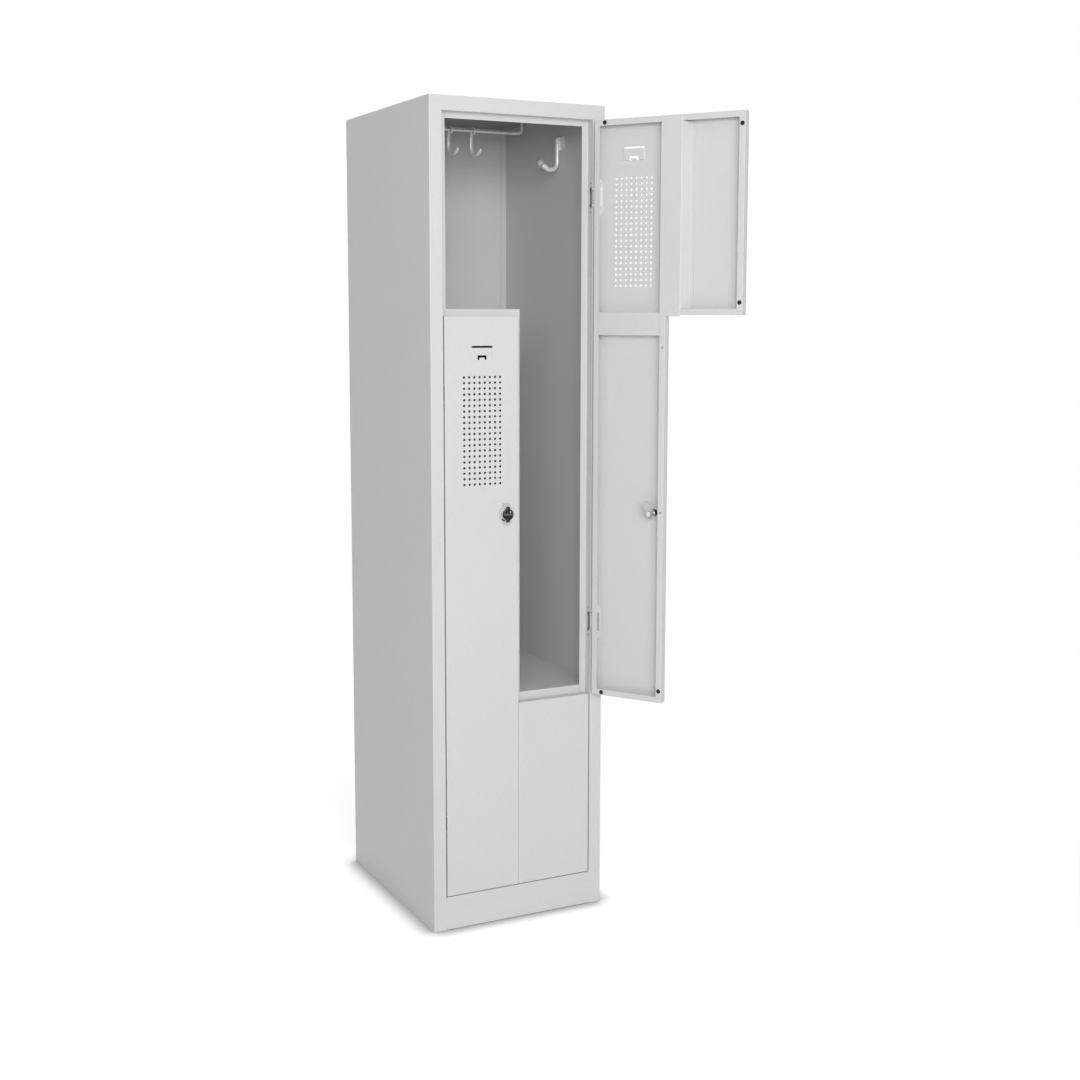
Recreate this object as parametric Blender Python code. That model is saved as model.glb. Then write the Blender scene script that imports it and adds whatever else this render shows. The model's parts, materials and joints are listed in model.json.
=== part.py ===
"""Two-person Z locker: a steel carcass with two interlocking L-shaped doors.

Metres, +Z up. The front faces -Y and the origin is on the floor, in the middle of the
foot flange under the front plinth. The left door is shut and the right door is open.
"""
import math
import bpy
import bmesh
import numpy as np
from mathutils import Matrix, Vector

# Overall size of the carcass
WIDTH = 0.415
DEPTH = 0.500
HEIGHT = 1.800

# Sheet and fit
SHEET = 0.001            # every panel
BEND = 0.0012            # mid-line radius of a fold
SEAT = 0.0003            # gap between pieces that touch
OVERRUN = 0.003          # how far a cutter passes its wall
ROUND_STEPS = 2          # segments in a fold
BACK_FOLD = 0.015        # return of the side sheets behind the back panel

# Front frame
STILE_FACE = 0.030
RAIL_FACE = 0.031
PLINTH_FACE = 0.0745
FOOT_FLANGE = 0.026
REBATE = 0.0225          # front face to the stop that the doors close on
STILE_STOP = 0.015       # width of the stop beside the doors
RAIL_STOP = 0.0125       # height of the stop above and below them

# Doors
DOOR_GAP = 0.002         # round the pair of doors
MEET_GAP = 0.003         # between the two doors
DOOR_DEPTH = 0.020
DOOR_LIP = 0.013
DOOR_FOLD = 0.0015       # outer radius of a door's front edges
WING_HEIGHT = 0.418
SWING_REST = math.radians(123)

# Compartment walls
SHELF_LIP = 0.028
SHELF_FOLD = 0.012
WALL_STOP = 0.0115       # stop of the partition on each side of its web
ROOF_FOLD = 0.015

# Door stiffeners
PLATE_BRIDGE = 0.0345    # joint plate, from the seam over the wing
PLATE_SLOPE = 0.013
PLATE_FOOT = 0.009
PLATE_END = 0.003        # how far the plate laps past the wing's inner edge
BAR_HEIGHT = 0.051
BAR_DROP = 0.0445        # from the wing's inner edge to the bar's far edge

# Punchings of the tall leaves
HOLE_RADIUS = 0.0025
HOLE_PITCH = 0.0121
HOLE_COLUMNS = 8
HOLE_ROWS = 20
VENT_SIDES = 5
CARD_WIDTH = 0.0496
CARD_HEIGHT = 0.028
CARD_SLOT = 0.0028
CARD_SLIT = 0.0008
TAB_WIDTH = 0.0196
TAB_HEIGHT = 0.0085
TAB_SLOT = 0.0028
CARD_DROP_LEFT = 0.063   # leaf's top edge to the card slot
CARD_DROP_RIGHT = 0.0585
HOLES_BELOW_CARD = 0.1815
SCREW_RADIUS = 0.0016
SCREW_SIDES = 6
SCREW_FROM_EDGE = 0.0065
SCREW_DROP = 0.488       # leaf's wing end to the first lip hole
SCREW_STEP = 0.358

# Hinges: a goose-neck strap turns on a pin inside the stile
AXIS_IN = 0.0086         # door's hinge edge to the pin
AXIS_BACK = 0.0042       # front face to the pin
PIN_RADIUS = 0.0015
PIN_CLEAR = 0.0003
PIN_HEAD = 0.0028
PIN_HEAD_HEIGHT = 0.0012
PIN_SIDES = 8
EYE_RADIUS = 0.0029
STRAP = 0.0015           # thickness of strap and bracket
STRAP_RADIUS = 0.00905   # mid line of the goose neck
STRAP_HALF = 0.020       # half height of the goose neck
STRAP_ARM = 0.005
LEAF_HALF = 0.040
LEAF_WIDTH = 0.0095
LEAF_CHAMFER = 0.006
SLOT_HALF = 0.0215
SLOT_DEPTH = 0.0128      # front face to the far end of the slot
HINGE_INSET = 0.1635     # leaf's ends to the middle of a hinge
EAR_GAP = 0.0005
BRACKET_TAB = 0.016
BRACKET_TABS = 0.0060    # front face to the bracket's riveted tabs
BRACKET_WEB = 0.0138     # front face to its web
RIVET_OFFSET = 0.0315
RIVET_BACK = 0.0100
LEG_ANGLE = math.radians(45)
NECK_ANGLE = math.radians(140)
ARC_STEPS = 7

# Bumpers
BUMPER_RADIUS = 0.0048
BUMPER_HEIGHT = 0.0022
BUMPER_END = 0.0262      # leaf or wing end to a bumper on a side lip
BUMPER_HINGE = 0.0252    # hinge edge to a bumper on an end lip
BUMPER_SIDES = 10

# Turn lock
LOCK_HEIGHT = 0.918
LOCK_FROM_EDGE = 0.0300
ROSE_THICK = 0.0030
ROSE_LENGTH = 0.049
ROSE_TAB = 0.019
ROSE_WIDTH = 0.036
ROSE_CORNER = 0.004
COLLAR_RADIUS = 0.0135
COLLAR_HEIGHT = 0.0030
KNOB_RADIUS = 0.0125
KNOB_DEPTH = 0.0050
EAR_WIDTH = 0.0075
EAR_REACH = 0.0172
BAND_WIDTH = 0.0050      # groove across the knob
BAND_DEPTH = 0.0015
SPINDLE_RADIUS = 0.0035
BARREL_RADIUS = 0.0095
BARREL_END = 0.0243      # front face to the barrel's inner end
TONGUE_THICK = 0.0020
TONGUE_LENGTH = 0.0290
TONGUE_HALF_ROOT = 0.0070
TONGUE_HALF_TIP = 0.0095
NUT_RADIUS = 0.0062
NUT_HEIGHT = 0.0045
NUT_SIDES = 6
LEAN = math.radians(22)  # the open door's tongue leans back from upright
SPINDLE_SIDES = 10
BARREL_SIDES = 16

# Garment rails and hooks
RAIL_RADIUS = 0.003
RAIL_DROP = 0.0375       # roof or shelf to the rail's mid line
RAIL_BACK = 0.250        # front face to the rail
RAIL_BEND = 0.010
RAIL_UPPER_SPAN = 0.256
RAIL_LOWER_SPAN = 0.150
WIRE_SIDES = 8
HOOK_RADIUS = 0.0029
HOOK_EYE = 0.0064        # rail's mid line to the hook's
HOOK_DROP = 0.0545       # rail's mid line to the lowest mid-line point
HOOK_REACH = 0.0185      # radius of the open bend
HOOK_WRAP = math.radians(25)    # how far the eye closes below the rail in front
HOOK_OPEN = math.radians(165)   # sweep of the open bend
HOOK_WIDTH = 0.0048      # half width of the flattened shank
HOOK_WIDTH_SHARES = (0.75, 1.0, 0.8, 0.5)
HOOK_UPPER_PLACES = (-0.0505, 0.0055)
HOOK_LOWER_PLACES = (-0.028, 0.028)

# Wall hooks
WALL_HOOK_BACK = 0.208   # front face to the hook's middle
WALL_HOOK_DROP = 0.045   # roof or shelf to the plate's top
WALL_PLATE_WIDTH = 0.030
WALL_PLATE_HEIGHT = 0.030
WALL_PLATE_THICK = 0.0015
WALL_FLANGE = 0.012
WALL_ARM_RADIUS = 0.0040
WALL_ARM_OUT = 0.0075    # wall to the arm's mid line
WALL_ARM_DROP = 0.057    # plate's top to the start of the bend
WALL_BEND = 0.0175
WALL_OPEN = math.radians(125)   # sweep of the bend
WALL_TIP = 0.0192        # end of the bend to the ball's middle
WALL_BALL = 0.0080
BALL_STEPS = 6

# Places that follow from the sizes above
FRONT = -FOOT_FLANGE / 2
BACK = FRONT + DEPTH
LEFT = -WIDTH / 2
RIGHT = WIDTH / 2
STOP = FRONT + REBATE
ZONE_LEFT = LEFT + STILE_FACE + DOOR_GAP
ZONE_RIGHT = RIGHT - STILE_FACE - DOOR_GAP
ZONE_LOW = PLINTH_FACE + DOOR_GAP
ZONE_HIGH = HEIGHT - RAIL_FACE - DOOR_GAP
LEAF_HEIGHT = ZONE_HIGH - ZONE_LOW - MEET_GAP - WING_HEIGHT
LEAF_SPAN = (ZONE_RIGHT - ZONE_LEFT - MEET_GAP) / 2
WING_SPAN = ZONE_RIGHT - ZONE_LEFT - LEAF_SPAN - SEAT
SHELF_TOP_UPPER = ZONE_HIGH - WING_HEIGHT + RAIL_STOP - SHEET / 2
SHELF_TOP_LOWER = ZONE_LOW + WING_HEIGHT + RAIL_STOP + DOOR_GAP + MEET_GAP
INNER_BACK = BACK - SHEET - SEAT
BEHIND_STOP = STOP + SHEET + SEAT
FLOOR_TOP = PLINTH_FACE + RAIL_STOP


def clear_scene():
    for item in list(bpy.data.objects):
        bpy.data.objects.remove(item, do_unlink=True)


def finish(name, colour, roughness, metallic):
    """A plain surface finish with one colour."""
    item = bpy.data.materials.new(name)
    item.use_nodes = True
    shader = item.node_tree.nodes["Principled BSDF"]
    shader.inputs["Base Color"].default_value = (*colour, 1)
    shader.inputs["Roughness"].default_value = roughness
    shader.inputs["Metallic"].default_value = metallic
    return item


def add_mesh(name, shape, material, parent=None):
    """Turn a bmesh into a named object with its faces pointing outwards."""
    bmesh.ops.recalc_face_normals(shape, faces=shape.faces)
    data = bpy.data.meshes.new(name)
    shape.to_mesh(data)
    shape.free()
    data.materials.append(material)
    item = bpy.data.objects.new(name, data)
    bpy.context.scene.collection.objects.link(item)
    item.parent = parent
    return item


def add_axis(name, place, angles=(0, 0, 0), parent=None):
    """An empty on a joint's axis, which carries the pieces that turn about it."""
    item = bpy.data.objects.new(name, None)
    item.location = place
    item.rotation_euler = angles
    item.parent = parent
    bpy.context.scene.collection.objects.link(item)
    return item


def as_cutter(item):
    item.hide_render = True
    item.display_type = "WIRE"
    return item


def boolean(item, other, operation):
    """Cut or join with a shape that lies in the same parent's frame."""
    step = item.modifiers.new(other.name, "BOOLEAN")
    step.operation = operation
    step.solver = "EXACT"
    step.object = as_cutter(other)


def prism(shape, outline, axis, low, high):
    """Extrude a closed outline along an axis.

    For X the outline holds (y, z), for Y it holds (x, z) and for Z it holds (x, y).
    """
    def place(u, v, along):
        return {"X": (along, u, v), "Y": (u, along, v), "Z": (u, v, along)}[axis]
    first = [shape.verts.new(place(u, v, low)) for u, v in outline]
    last = [shape.verts.new(place(u, v, high)) for u, v in outline]
    shape.faces.new(first)
    shape.faces.new(last)
    count = len(outline)
    for i in range(count):
        j = (i + 1) % count
        shape.faces.new((first[i], first[j], last[j], last[i]))


def add_prism(name, outline, axis, low, high, material, parent=None):
    shape = bmesh.new()
    prism(shape, outline, axis, low, high)
    return add_mesh(name, shape, material, parent)


def rectangle(low_u, high_u, low_v, high_v):
    return [(low_u, low_v), (high_u, low_v), (high_u, high_v), (low_u, high_v)]


def block(shape, low, high):
    """A box between two corners."""
    prism(shape, rectangle(low[0], high[0], low[1], high[1]), "Z", low[2], high[2])


def polygon(centre, radius, sides, turn=0.0):
    angles = [turn + 2 * math.pi * i / sides for i in range(sides)]
    return [(centre[0] + radius * math.cos(a), centre[1] + radius * math.sin(a)) for a in angles]


def rounded(points, radius, steps=ROUND_STEPS):
    """Replace the inner corners of an open path by arcs."""
    points = [Vector(p) for p in points]
    path = [points[0]]
    for before, corner, after in zip(points, points[1:], points[2:]):
        go_in = (corner - before).normalized()
        go_out = (after - corner).normalized()
        turn = go_in.angle_signed(go_out)
        reach = radius * math.tan(abs(turn) / 2)
        side = Vector((go_in.y, -go_in.x)) * (1 if turn > 0 else -1)
        start = corner - go_in * reach
        centre = start + side * radius
        for i in range(steps + 1):
            spin = Matrix.Rotation(-turn * i / steps, 2)
            path.append(centre + spin @ (start - centre))
    path.append(points[-1])
    return path


def thicken(path, thickness):
    """Closed outline of a sheet whose mid line is an open path."""
    normals = []
    last = len(path) - 1
    for i, point in enumerate(path):
        ways = []
        if i > 0:
            ways.append((point - path[i - 1]).normalized())
        if i < last:
            ways.append((path[i + 1] - point).normalized())
        way = sum(ways, Vector((0, 0))).normalized()
        stretch = 1 / way.dot(ways[0])
        normals.append(Vector((-way.y, way.x)) * stretch)
    one = [p + n * thickness / 2 for p, n in zip(path, normals)]
    other = [p - n * thickness / 2 for p, n in zip(path, normals)]
    return [tuple(p) for p in one + other[::-1]]


def folded(name, points, axis, low, high, material, parent=None, thickness=SHEET):
    """A folded sheet: its mid line is walked once, rounded at the folds and extruded."""
    outline = thicken(rounded(points, BEND), thickness)
    return add_prism(name, outline, axis, low, high, material, parent)


def tray(shape, low_u, high_u, low_w, high_w, face, depth, lip):
    """A sheet folded back round all four edges, and in again as a lip.

    u and w run across the sheet and the face looks towards -Y. Each ring of four corners
    lies at an inset from the edge and a depth behind the face.
    """
    arc = [(DOOR_FOLD * (1 - math.sin(a)), DOOR_FOLD * (1 - math.cos(a)))
           for a in np.linspace(math.pi / 2, 0, ROUND_STEPS + 1)]
    outer = [(lip, depth), (0, depth)]
    outer += [(inset, back) for inset, back in arc]
    inner = [(SHEET, SHEET), (SHEET, depth - SHEET), (lip, depth - SHEET)]
    rings = []
    for inset, back in outer + inner:
        corners = ((low_u + inset, low_w + inset), (high_u - inset, low_w + inset),
                   (high_u - inset, high_w - inset), (low_u + inset, high_w - inset))
        rings.append([shape.verts.new((u, face + back, w)) for u, w in corners])
    last_outer = len(outer) - 1
    for k, ring in enumerate(rings):
        if k == last_outer:
            continue
        following = rings[(k + 1) % len(rings)]
        for i in range(4):
            j = (i + 1) % 4
            shape.faces.new((ring[i], ring[j], following[j], following[i]))
    shape.faces.new(rings[last_outer])
    shape.faces.new(rings[last_outer + 1])


def turned(shape, profile, sides):
    """Revolve (radius, height) points about Y; a profile that ends off the axis is a tube."""
    closed = profile[0][0] > 0
    rings = []
    for radius, along in profile:
        if radius == 0:
            rings.append([shape.verts.new((0, along, 0))])
            continue
        angles = [2 * math.pi * i / sides for i in range(sides)]
        rings.append([shape.verts.new((radius * math.cos(a), along, radius * math.sin(a))) for a in angles])
    pairs = list(zip(rings, rings[1:]))
    if closed:
        pairs.append((rings[-1], rings[0]))
    for one, other in pairs:
        for i in range(sides):
            j = (i + 1) % sides
            corners = [one[i % len(one)], one[j % len(one)], other[j % len(other)], other[i % len(other)]]
            shape.faces.new(list(dict.fromkeys(corners)))


def wire(shape, points, radii, across, widths=None):
    """A wire along a flat path with mitred bends; across is the path's normal.

    Each point has its radius in the path's plane, and widths are its radii across it.
    """
    widths = widths or radii
    points = [Vector(p) for p in points]
    across = Vector(across)
    rings = []
    last = len(points) - 1
    for i, point in enumerate(points):
        ways = []
        if i > 0:
            ways.append((point - points[i - 1]).normalized())
        if i < last:
            ways.append((points[i + 1] - point).normalized())
        way = sum(ways, Vector((0, 0, 0))).normalized()
        side = way.cross(across) / way.dot(ways[0])
        ring = []
        for u, v in polygon((0, 0), 1, WIRE_SIDES):
            ring.append(shape.verts.new(point + side * radii[i] * u + across * widths[i] * v))
        rings.append(ring)
    for one, other in zip(rings, rings[1:]):
        for i in range(WIRE_SIDES):
            j = (i + 1) % WIRE_SIDES
            shape.faces.new((one[i], one[j], other[j], other[i]))
    shape.faces.new(rings[0])
    shape.faces.new(rings[-1])


def add_wire(name, points, radii, across, material, parent=None, widths=None):
    shape = bmesh.new()
    wire(shape, points, radii, across, widths)
    return add_mesh(name, shape, material, parent)


def arc_points(centre, radius, start, end, steps):
    angles = np.linspace(start, end, steps + 1)
    return [(centre[0] + radius * math.cos(a), centre[1] + radius * math.sin(a)) for a in angles]


def side_panel(name, side, grey, hinge_heights):
    """Side sheet, stile, rebate and stop in one fold, with a slot in the rebate at each hinge."""
    edge = WIDTH / 2 - SHEET / 2
    inner = WIDTH / 2 - STILE_FACE + SHEET / 2
    back = BACK - SHEET - SEAT - SHEET / 2
    front = FRONT + SHEET / 2
    stop = STOP + SHEET / 2
    path = [(edge - BACK_FOLD, back), (edge, back), (edge, front), (inner, front),
            (inner, stop), (inner - STILE_STOP, stop)]
    panel = folded(name, [(side * x, y) for x, y in path], "Z", 0, HEIGHT, grey)
    slots = bmesh.new()
    wall = sorted((side * (inner - OVERRUN), side * (inner + OVERRUN)))
    for height in hinge_heights:
        block(slots, (wall[0], FRONT + SHEET + SEAT, height - SLOT_HALF),
              (wall[1], FRONT + SLOT_DEPTH, height + SLOT_HALF))
        for way in (-1, 1):
            hole = polygon((FRONT + RIVET_BACK, height + way * RIVET_OFFSET), SCREW_RADIUS, SCREW_SIDES)
            prism(slots, hole, "X", *wall)
    ends = sorted((side * (inner - STILE_STOP - OVERRUN), side * (inner + OVERRUN)))
    block(slots, (ends[0], FRONT + SHEET + SEAT / 2, HEIGHT - ROOF_FOLD - SEAT),
          (ends[1], STOP + SHEET + OVERRUN, HEIGHT + OVERRUN))
    boolean(panel, add_mesh(name + "_slots", slots, grey), "DIFFERENCE")


def front_rails(grey):
    """Top rail and plinth, folded like the stiles and fitted between them."""
    low = LEFT + STILE_FACE + SEAT
    high = RIGHT - STILE_FACE - SEAT
    face = FRONT + SHEET / 2
    stop = STOP + SHEET / 2
    top = HEIGHT - RAIL_FACE + SHEET / 2
    path = [(face, HEIGHT), (face, top), (stop, top), (stop, top - SHEET / 2 - RAIL_STOP)]
    rail = folded("top_rail", path, "X", low, high, grey)
    ledge = PLINTH_FACE - SHEET / 2
    path = [(FRONT + FOOT_FLANGE, SHEET / 2), (face, SHEET / 2), (face, ledge), (stop, ledge),
            (stop, ledge + SHEET / 2 + RAIL_STOP)]
    plinth = folded("plinth", path, "X", low, high, grey)
    for item in (rail, plinth):
        notch = bmesh.new()
        for side in (-1, 1):
            wall = sorted((side * (WIDTH / 2 - STILE_FACE + OVERRUN),
                           side * (WIDTH / 2 - STILE_FACE - STILE_STOP - SEAT)))
            block(notch, (wall[0], STOP - SEAT, -OVERRUN),
                  (wall[1], FRONT + FOOT_FLANGE + OVERRUN, HEIGHT - RAIL_FACE + OVERRUN))
        boolean(item, add_mesh(item.name + "_notch", notch, grey), "DIFFERENCE")


def roof_and_back(grey):
    """The roof is a shallow tray between the sides; the back sheet laps over the side folds."""
    inset = SHEET + SEAT
    low, high = LEFT + inset, RIGHT - inset
    front, back = FRONT + inset, BACK - inset - SHEET - SEAT
    shape = bmesh.new()
    rings = []
    for outer, height in ((0, HEIGHT - ROOF_FOLD), (0, HEIGHT), (SHEET, HEIGHT - SHEET),
                          (SHEET, HEIGHT - ROOF_FOLD)):
        corners = ((low + outer, front + outer), (high - outer, front + outer),
                   (high - outer, back - outer), (low + outer, back - outer))
        rings.append([shape.verts.new((x, y, height)) for x, y in corners])
    for one, other in ((0, 1), (2, 3), (3, 0)):
        for i in range(4):
            j = (i + 1) % 4
            shape.faces.new((rings[one][i], rings[one][j], rings[other][j], rings[other][i]))
    shape.faces.new(rings[1])
    shape.faces.new(rings[2])
    add_mesh("roof_panel", shape, grey)
    add_prism("back_panel", rectangle(LEFT, RIGHT, BACK - SHEET, BACK), "Z", 0, HEIGHT, grey)


def shelf(name, top, low, high, lip_low, lip_high, drop, grey):
    """A shelf sheet with a front lip that the doors close on, and a fold at the back."""
    mid = top - SHEET / 2
    back = INNER_BACK - SHEET - SEAT - SHEET / 2
    path = [(STOP + SHEET / 2, top - drop), (STOP + SHEET / 2, mid), (back, mid), (back, top - SHELF_FOLD)]
    item = folded(name, path, "X", low, high, grey)
    notch = bmesh.new()
    for start, end in ((low - OVERRUN, lip_low), (lip_high, high + OVERRUN)):
        if end - start > OVERRUN:
            block(notch, (start, STOP - OVERRUN, top - drop - OVERRUN), (end, BEHIND_STOP, top + OVERRUN))
    boolean(item, add_mesh(name + "_notch", notch, grey), "DIFFERENCE")
    return item


def compartments(grey):
    """Floor, two half shelves and the wall between them, which make the two Z compartments.

    The wall is a flat web, and the strip welded along its front edge stops both doors.
    """
    half = SHEET / 2
    low, high = LEFT + SHEET + SEAT, RIGHT - SHEET - SEAT
    stop_low, stop_high = LEFT + STILE_FACE + STILE_STOP + SEAT, RIGHT - STILE_FACE - STILE_STOP - SEAT
    back = INNER_BACK - SHEET - SEAT - half
    fold = FLOOR_TOP - SHELF_FOLD
    floor = [(BEHIND_STOP + half, fold), (BEHIND_STOP + half, FLOOR_TOP - half),
             (back, FLOOR_TOP - half), (back, fold)]
    folded("floor_panel", floor, "X", low, high, grey)
    shelf("upper_shelf", SHELF_TOP_UPPER, low, WALL_STOP, stop_low, WALL_STOP, SHELF_LIP, grey)
    shelf("lower_shelf", SHELF_TOP_LOWER, -WALL_STOP, high, -WALL_STOP, stop_high, SHELF_LIP, grey)
    foot = SHELF_TOP_LOWER + SEAT
    head = SHELF_TOP_UPPER - SHEET - SEAT
    deep = back - half - SEAT
    web = rectangle(-half, half, STOP + SHEET + SEAT, deep)
    add_prism("partition_wall", web, "Z", foot, head, grey)
    strip = rectangle(-WALL_STOP, WALL_STOP, STOP, STOP + SHEET)
    add_prism("partition_stop", strip, "Z", foot, SHELF_TOP_UPPER - SHELF_LIP - SEAT, grey)


def card_outlines(centre, top, up):
    """The slot that a name card slides into, its side slits and the thumb cut below them."""
    def flip(points):
        return [(centre + u, top - up * v) for u, v in points]
    half = CARD_WIDTH / 2
    frame = [(-half, 0), (half, 0), (half, CARD_HEIGHT), (half - CARD_SLIT, CARD_HEIGHT),
             (half - CARD_SLIT, CARD_SLOT), (CARD_SLIT - half, CARD_SLOT),
             (CARD_SLIT - half, CARD_HEIGHT), (-half, CARD_HEIGHT)]
    wide = TAB_WIDTH / 2
    thin = wide - TAB_SLOT
    start = CARD_HEIGHT - TAB_HEIGHT
    thumb = [(-wide, start), (wide, start), (wide, CARD_HEIGHT), (thin, CARD_HEIGHT),
             (thin, start + TAB_SLOT), (-thin, start + TAB_SLOT), (-thin, CARD_HEIGHT), (-wide, CARD_HEIGHT)]
    return flip(frame), flip(thumb)


def leaf_punchings(name, up, top, drop, lock, grey, parent):
    """Vent holes, card slots, hinge slots, lip holes and the lock hole of a tall leaf."""
    cuts = bmesh.new()
    face = (-AXIS_BACK - OVERRUN, -AXIS_BACK + SHEET + OVERRUN)
    middle = AXIS_IN + LEAF_SPAN / 2
    slot_top = top - up * drop
    for outline in card_outlines(middle, slot_top, up):
        prism(cuts, outline, "Y", *face)
    centre = slot_top - up * HOLES_BELOW_CARD
    for column in range(HOLE_COLUMNS):
        for row in range(HOLE_ROWS):
            spot = (middle + (column - (HOLE_COLUMNS - 1) / 2) * HOLE_PITCH,
                    centre + (row - (HOLE_ROWS - 1) / 2) * HOLE_PITCH)
            prism(cuts, polygon(spot, HOLE_RADIUS, VENT_SIDES), "Y", *face)
    for middle_w in (HINGE_INSET, LEAF_HEIGHT - HINGE_INSET):
        block(cuts, (AXIS_IN - OVERRUN, SHEET + SEAT - AXIS_BACK, middle_w - SLOT_HALF),
              (AXIS_IN + SHEET + OVERRUN, SLOT_DEPTH - AXIS_BACK, middle_w + SLOT_HALF))
    lip = (DOOR_DEPTH - AXIS_BACK - SHEET - OVERRUN, DOOR_DEPTH - AXIS_BACK + OVERRUN)
    for w in (SCREW_DROP, SCREW_DROP + SCREW_STEP):
        spot = (AXIS_IN + LEAF_SPAN - SCREW_FROM_EDGE, w)
        prism(cuts, polygon(spot, SCREW_RADIUS, SCREW_SIDES), "Y", *lip)
    prism(cuts, polygon(lock, SPINDLE_RADIUS + SEAT, SPINDLE_SIDES), "Y", *face)
    return add_mesh(name, cuts, grey, parent)


def joint_plate(name, grey, parent):
    """Plate over the seam of leaf and wing, bent down to the wing's face."""
    seam = AXIS_IN + LEAF_SPAN
    over = DOOR_DEPTH - AXIS_BACK + SEAT + SHEET / 2
    under = SHEET - AXIS_BACK + SEAT + SHEET / 2
    bend = seam + PLATE_BRIDGE
    path = [(seam - DOOR_LIP, over), (bend, over), (bend + PLATE_SLOPE, under),
            (bend + PLATE_SLOPE + PLATE_FOOT, under)]
    item = folded(name, path, "Z", SHEET, WING_HEIGHT + PLATE_END, grey, parent)
    ends = bmesh.new()
    far = bend + PLATE_SLOPE + PLATE_FOOT + OVERRUN
    inner = WING_HEIGHT - DOOR_LIP - SEAT
    for low, high in ((-OVERRUN, DOOR_LIP + SEAT), (inner, WING_HEIGHT + PLATE_END + OVERRUN)):
        block(ends, (seam - DOOR_LIP - OVERRUN, under - OVERRUN, low), (far, DOOR_DEPTH - AXIS_BACK, high))
    boolean(item, add_mesh(name + "_ends", ends, grey, parent), "DIFFERENCE")


def cross_bar(name, grey, parent):
    """Channel across the tall leaf beside the wing's inner edge."""
    web = DOOR_DEPTH - AXIS_BACK - SHEET / 2
    foot = SHEET - AXIS_BACK + SEAT
    end = WING_HEIGHT + BAR_DROP - SHEET / 2
    start = end - BAR_HEIGHT + SHEET
    path = [(foot, start), (web, start), (web, end), (foot, end)]
    low = AXIS_IN + DOOR_LIP + SEAT
    high = AXIS_IN + LEAF_SPAN - DOOR_LIP - SEAT
    return folded(name, path, "X", low, high, grey, parent)


def hinge_strap(name, middle, steel, parent):
    """Goose neck from the pin, round the edge of the stile and into the door's corner."""
    wall = AXIS_IN + SHEET + SEAT + STRAP / 2
    face = SHEET - AXIS_BACK + SEAT + STRAP / 2
    neck = math.pi - NECK_ANGLE
    start = EYE_RADIUS - STRAP / 2
    path = [(-start * math.cos(LEG_ANGLE), start * math.sin(LEG_ANGLE))]
    path += arc_points((0, 0), STRAP_RADIUS, math.pi - LEG_ANGLE, neck, ARC_STEPS)
    through = path[-1][1]
    path += [(wall, through), (wall, face), (wall + LEAF_WIDTH, face)]
    outline = thicken([Vector(p) for p in path], STRAP)
    item = add_prism(name, outline, "Z", middle - LEAF_HALF, middle + LEAF_HALF, steel, parent)
    eye = add_prism(name + "_eye", polygon((0, 0), EYE_RADIUS, PIN_SIDES), "Z",
                    middle - STRAP_HALF, middle + STRAP_HALF, steel, parent)
    boolean(item, eye, "UNION")
    cuts = bmesh.new()
    reach = STRAP_RADIUS + STRAP
    edge = AXIS_IN + SHEET + SEAT
    for way in (-1, 1):
        ends = sorted((middle + way * STRAP_HALF, middle + way * (LEAF_HALF + OVERRUN)))
        block(cuts, (-reach, -reach, ends[0]), (edge, reach + STRAP, ends[1]))
    window = STRAP_HALF - STRAP_ARM
    far, foot, back = edge + STRAP + SEAT, face + STRAP / 2, reach + STRAP
    outline = [(-reach, -reach), (edge - SEAT, -reach), (edge - SEAT, foot), (far, foot), (far, back),
               (-reach, back)]
    prism(cuts, outline, "Z", middle - window, middle + window)
    boolean(item, add_mesh(name + "_gaps", cuts, steel, parent), "DIFFERENCE")
    bore = add_prism(name + "_bore", polygon((0, 0), PIN_RADIUS + PIN_CLEAR, PIN_SIDES), "Z",
                     middle - STRAP_HALF - OVERRUN, middle + STRAP_HALF + OVERRUN, steel, parent)
    boolean(item, bore, "DIFFERENCE")
    corners = bmesh.new()
    tip = wall + LEAF_WIDTH
    for way in (-1, 1):
        corner = middle + way * LEAF_HALF
        outline = [(tip - LEAF_CHAMFER, corner + way * SEAT), (tip + SEAT, corner + way * SEAT),
                   (tip + SEAT, corner - way * LEAF_CHAMFER)]
        prism(corners, outline, "Y", face - STRAP, face + STRAP)
    boolean(item, add_mesh(name + "_corners", corners, steel, parent), "DIFFERENCE")


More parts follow.
